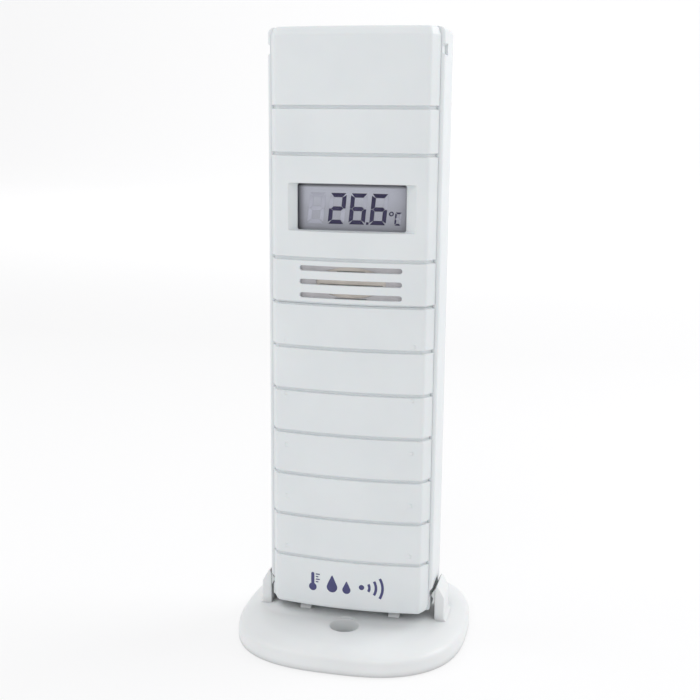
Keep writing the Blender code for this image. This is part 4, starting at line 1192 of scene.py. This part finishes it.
def build_stand():
    steps = cuts(stand_solid(STAND_CAVITY_RINGS)) + unions(stand_solid(plinth_rings()))
    low, high, end = STAND_TOP - 0.8, MODULE_BOTTOM - GAP, SUPPORT_RIB_END_Y
    flat, shoulder, half = end - 1.3, high - 1.4, SUPPORT_RIB_WIDTH / 2
    side_view = [(-end, low), (end, low), (end, shoulder), (flat, high), (-flat, high), (-end, shoulder)]
    for side in (-1, 1):
        x = side * SUPPORT_RIB_X
        rib = prism(side_view, "X", x - half, x + half)
        steps += unions(softened(rib, 0.2), clip_post(side), clip_nose(side))
    seat = STAND_TOP - COUNTERBORE_DEPTH
    for side in (-1, 1):
        at = (0.0, side * SCREW_HOLE_Y)
        steps += unions(rod("Z", at, 0.0, STAND_TOP - 1.0, HOLE_SLEEVE_RADIUS))
        steps += cuts(rod("Z", at, seat, STAND_TOP + 1.0, COUNTERBORE_RADIUS))
        steps += cuts(rod("Z", at, -1.0, STAND_TOP, SCREW_HOLE_RADIUS))
        steps += cuts(turned_funnel(at, COUNTERBORE_RADIUS, STAND_TOP, 0.25))
    foot = combined(stand_solid(STAND_RINGS), steps)
    piece("stand_foot", foot, STAND_WHITE, STAND, ["stand_base"])


def turned_funnel(at, radius, top, lip):
    """Cuts a soft lip round a hole in a flat top."""
    profile = [(0.0, top - lip), (radius - 0.01, top - lip)]
    profile += [(radius + lip * (1 - c), top - lip * (1 - s)) for s, c in arc_steps(5)]
    profile += [(radius + lip + 0.02, top + 0.5), (0.0, top + 0.5)]
    return turned(profile, at, 48)


# ---- display

LCD_LAYER_Y = -6.54
DIGIT_LEVEL = 87.68
DIGIT_HEIGHT = 6.66
DIGIT_WIDTH = 3.62
DIGIT_PITCH = 4.6
DIGIT_FIRST_X = -5.65
DIGIT_STROKE = 0.9
DIGIT_SLANT = math.tan(math.radians(5.5))
SEGMENT_THICKNESS = 0.03
DOT_SIZE = 0.55
DOT_BACK = 0.7
UNIT_X, UNIT_LEVEL = 9.02, 87.7
UNIT_SIZE = (1.42, 2.8, 0.36, 0.07)
RING_X, RING_LEVEL = 8.41, 90.13
RING_OUTER, RING_INNER, RING_STEPS = 0.52, 0.27, 28
FILM = ((-12.6, 12.6), (-6.5, -6.47), (85.2, 97.95))


def segment_outlines(width, height, stroke, gap):
    """The seven segments of a digit, from a to g, with mitred corners and a pointed middle bar."""
    half, middle = stroke / 2, height / 2
    corner, inner = 0.08 * stroke + gap, 0.92 * stroke + gap
    end_bar = [(corner, 0.0), (width - corner, 0.0), (width - inner, stroke), (inner, stroke)]
    corner, inner, tip, root = 0.4 * stroke + gap, stroke + gap, middle - gap, middle - half - gap
    side_bar = [(0.0, corner), (stroke, inner), (stroke, root), (half, tip), (0.0, tip)]
    low, high, end, shoulder = middle - half, middle + half, half + gap, stroke + gap
    middle_bar = [(end, middle), (shoulder, high), (width - shoulder, high)]
    middle_bar += [(width - end, middle), (width - shoulder, low), (shoulder, low)]

    def flipped(outline, across, up):
        return [(width - x if across else x, height - z if up else z) for x, z in outline]

    return {
        "a": flipped(end_bar, False, True),
        "b": flipped(side_bar, True, True),
        "c": flipped(side_bar, True, False),
        "d": end_bar,
        "e": side_bar,
        "f": flipped(side_bar, False, True),
        "g": middle_bar,
    }


SHOWN_SEGMENTS = {"2": "abged", "6": "afedcg", "C": "afed"}


def add_flat(shape, outline, x, low):
    """Adds a thin slanted shape, standing in the display's layer."""
    spots = [(x + across + DIGIT_SLANT * up, level(low + up)) for across, up in outline]
    depths = (LCD_LAYER_Y, LCD_LAYER_Y + SEGMENT_THICKNESS)
    add_plate(shape, *([(across, y, up) for across, up in spots] for y in depths))


def build_digits():
    """The reading, the unit, and the faint segments that are switched off."""
    shown, faint = bmesh.new(), bmesh.new()
    outlines = segment_outlines(DIGIT_WIDTH, DIGIT_HEIGHT, DIGIT_STROKE, 0.05)
    for place, digit in enumerate("266"):
        for key, outline in outlines.items():
            target = shown if key in SHOWN_SEGMENTS[digit] else faint
            add_flat(target, outline, DIGIT_FIRST_X + place * DIGIT_PITCH, DIGIT_LEVEL)
    for outline in outlines.values():
        add_flat(faint, outline, DIGIT_FIRST_X - DIGIT_PITCH, DIGIT_LEVEL)
    dot_x = DIGIT_FIRST_X + 2 * DIGIT_PITCH - DOT_BACK
    add_flat(shown, rectangle(0.0, 0.0, DOT_SIZE, DOT_SIZE), dot_x, DIGIT_LEVEL)
    for key, outline in segment_outlines(*UNIT_SIZE).items():
        add_flat(shown if key in SHOWN_SEGMENTS["C"] else faint, outline, UNIT_X, UNIT_LEVEL)
    outer, inner = (arc(0.0, 0.0, r, 0, 360, RING_STEPS) for r in (RING_OUTER, RING_INNER))
    for quad in zip(outer, outer[1:], inner[1:], inner):
        add_flat(shown, quad, RING_X, RING_LEVEL)
    piece("lcd_reading", mesh_of(shown), INK, SENSOR)
    piece("lcd_idle_segments", mesh_of(faint), FAINT_INK, SENSOR)


def build_lcd_film():
    """The grey film behind the crystal layer."""
    piece("lcd_film", block(*FILM), LCD_FILM, SENSOR)


# ---- printed sign

# Half the thickness of the print, and the sign's places and sizes on the cover.
PRINT_LIFT = 0.03
TUBE_X = -7.9
TUBE_LEVELS = (8.0, 5.4)
TUBE_HALF_WIDTH = 0.38
BULB_LEVEL, BULB_RADIUS = 4.85, 0.92
MARK_LEVEL, MARK_PITCH, MARK_HEIGHT = 6.0, 0.62, 0.26
MARK_OFFSET = 0.72
MARK_LENGTHS = (0.6, 0.95)
DROPS = [(-3.3, 1.25, 4.1), (0.1, 0.95, 3.0)]
DROP_LEVEL = 4.0
SOURCE_X, SOURCE_LEVEL, SOURCE_RADIUS = 3.6, 5.9, 0.62
WAVE_RADII = (2.1, 3.6, 5.1)
WAVE_WIDTH = 0.6
WAVE_HALF_ANGLE = 30


def droplet(x, low, radius, height):
    """A drop: a round lower part whose sides run up to a point."""
    tip, side_z, side = (x, low + height), low + 0.97 * height, 0.12 * radius
    return [*arc(x, low + radius, radius, 155, 230, 20), (x + side, side_z), tip, (x - side, side_z)]


def wave(radius):
    """One arc of the radio-wave sign, open to the left."""
    half = WAVE_HALF_ANGLE
    outer = arc(SOURCE_X, SOURCE_LEVEL, radius, -half, 2 * half, 14)
    return outer + arc(SOURCE_X, SOURCE_LEVEL, radius - WAVE_WIDTH, half, -2 * half, 14)


def build_sign():
    """A plain sign in the cover's lower corner: a thermometer, two drops and radio waves."""
    tube = []
    for end, start in zip(TUBE_LEVELS, (0, 180)):
        tube += arc(TUBE_X, end, TUBE_HALF_WIDTH, start, 180, 8)
    shapes = [tube, ellipse((TUBE_X, BULB_LEVEL), BULB_RADIUS, BULB_RADIUS, 28)]
    for step in range(4):
        low, left = MARK_LEVEL + MARK_PITCH * step, TUBE_X + MARK_OFFSET
        shapes.append(rectangle(left, low, left + MARK_LENGTHS[step % 2], low + MARK_HEIGHT))
    shapes += [droplet(x, DROP_LEVEL, radius, height) for x, radius, height in DROPS]
    shapes.append(ellipse((SOURCE_X, SOURCE_LEVEL), SOURCE_RADIUS, SOURCE_RADIUS, 28))
    shapes += [wave(radius) for radius in WAVE_RADII]
    sign = bmesh.new()
    for outline in shapes:
        rims = ([(x, face_y(x) - lift, level(z)) for x, z in outline] for lift in (PRINT_LIFT, -PRINT_LIFT))
        add_plate(sign, *rims)
    piece("cover_sign", mesh_of(sign), PRINT_INK, COVER)


# ---- materials

WHITE = moulded_plastic("housing_plastic", srgb(226, 230, 232), srgb(213, 218, 221))
# The stand's plastic has a painted contact shadow under the sensor.
STAND_WHITE = moulded_plastic("stand_plastic", srgb(231, 233, 234), srgb(217, 220, 222), 0.38, contact_shadow=0.8)
STEEL = metal("nickel_plated_steel", srgb(205, 204, 200), 0.28)
COPPER = metal("tinned_copper", srgb(205, 160, 120), 0.3, 0.4, (1.0, 1.0, 6.0))
CHIP = resin_or_rubber("moulded_chip", srgb(32, 32, 34), 0.45)
BOARD = resin_or_rubber("solder_resist", srgb(38, 110, 62), 0.32, 0.6)
FRAME_BLACK = resin_or_rubber("frame_black", srgb(52, 52, 58), 0.5)
SILICONE = resin_or_rubber("silicone_strip", srgb(214, 150, 160), 0.5)
FELT = resin_or_rubber("filter_felt", srgb(212, 204, 196), 0.95, 0.25, 0.12)
# Painted shade: the plate is white plastic, coloured grey for the shade deep in the vents.
PLATE_PAINTED_SHADE = resin_or_rubber("vent_plate", srgb(192, 189, 192), 0.6, 0.3)
WRAP = resin_or_rubber("cell_wrap", srgb(58, 66, 78), 0.3, 0.5, 0.004, 0.2)
CELL_BAND = metal("cell_band_foil", srgb(206, 160, 96), 0.32, 0.3)
PAPER = resin_or_rubber("label_foil", srgb(216, 217, 215), 0.35, 0.4, 0.004, 0.12)
LABEL_INK = resin_or_rubber("label_ink", srgb(96, 98, 104), 0.5, 0.3, 0.002)
RED = resin_or_rubber("lead_red", srgb(186, 38, 32), 0.4)
BLACK = resin_or_rubber("lead_black", srgb(34, 34, 36), 0.4)
RESIN = resin_or_rubber("bead_resin", srgb(40, 52, 110), 0.3)
LCD_BACK = resin_or_rubber("lcd_reflector", srgb(184, 187, 200), 0.5, 0.2, 0.002)
LCD_FILM = display_film("lcd_film", srgb(234, 237, 251))
GLASS = clear_plastic("clear_sheet")
INK = resin_or_rubber("lcd_ink", srgb(58, 53, 92), 0.5, 0.5, 0.001)
FAINT_INK = resin_or_rubber("lcd_faint_ink", srgb(209, 211, 226), 0.5, 0.5, 0.001)
PRINT_INK = resin_or_rubber("printed_ink", srgb(66, 66, 112), 0.45, 0.4, 0.002)

dress_cad_nodes(
    [
        (GLASS, ["display_window", "lcd_front_glass", "lcd_rear_glass"]),
        (FRAME_BLACK, ["lcd_frame"]),
        (LCD_BACK, ["lcd_reflector"]),
        (SILICONE, ["lcd_connector_strip"]),
        (BOARD, ["circuit_board", "rf_board"]),
        (CHIP, ["controller_chip", "capacitor", "humidity_sensor"]),
        (RESIN, ["thermistor"]),
        (COPPER, ["antenna"]),
        (STEEL, ["crystal", "rf_shield", "bridge_plate", "bridge_spring", "positive_plate"]),
        (STEEL, ["negative_plate", "negative_spring", "board_screw_1", "board_screw_2"]),
        (RED, ["positive_lead"]),
        (BLACK, ["negative_lead"]),
    ]
)

build_front_panel()
build_cover()
build_stand()
build_digits()
build_lcd_film()
build_filter()
build_rear_housing()
build_housing_screws()
build_cells()
build_sign()
add_camera()
add_lights()
add_floor()
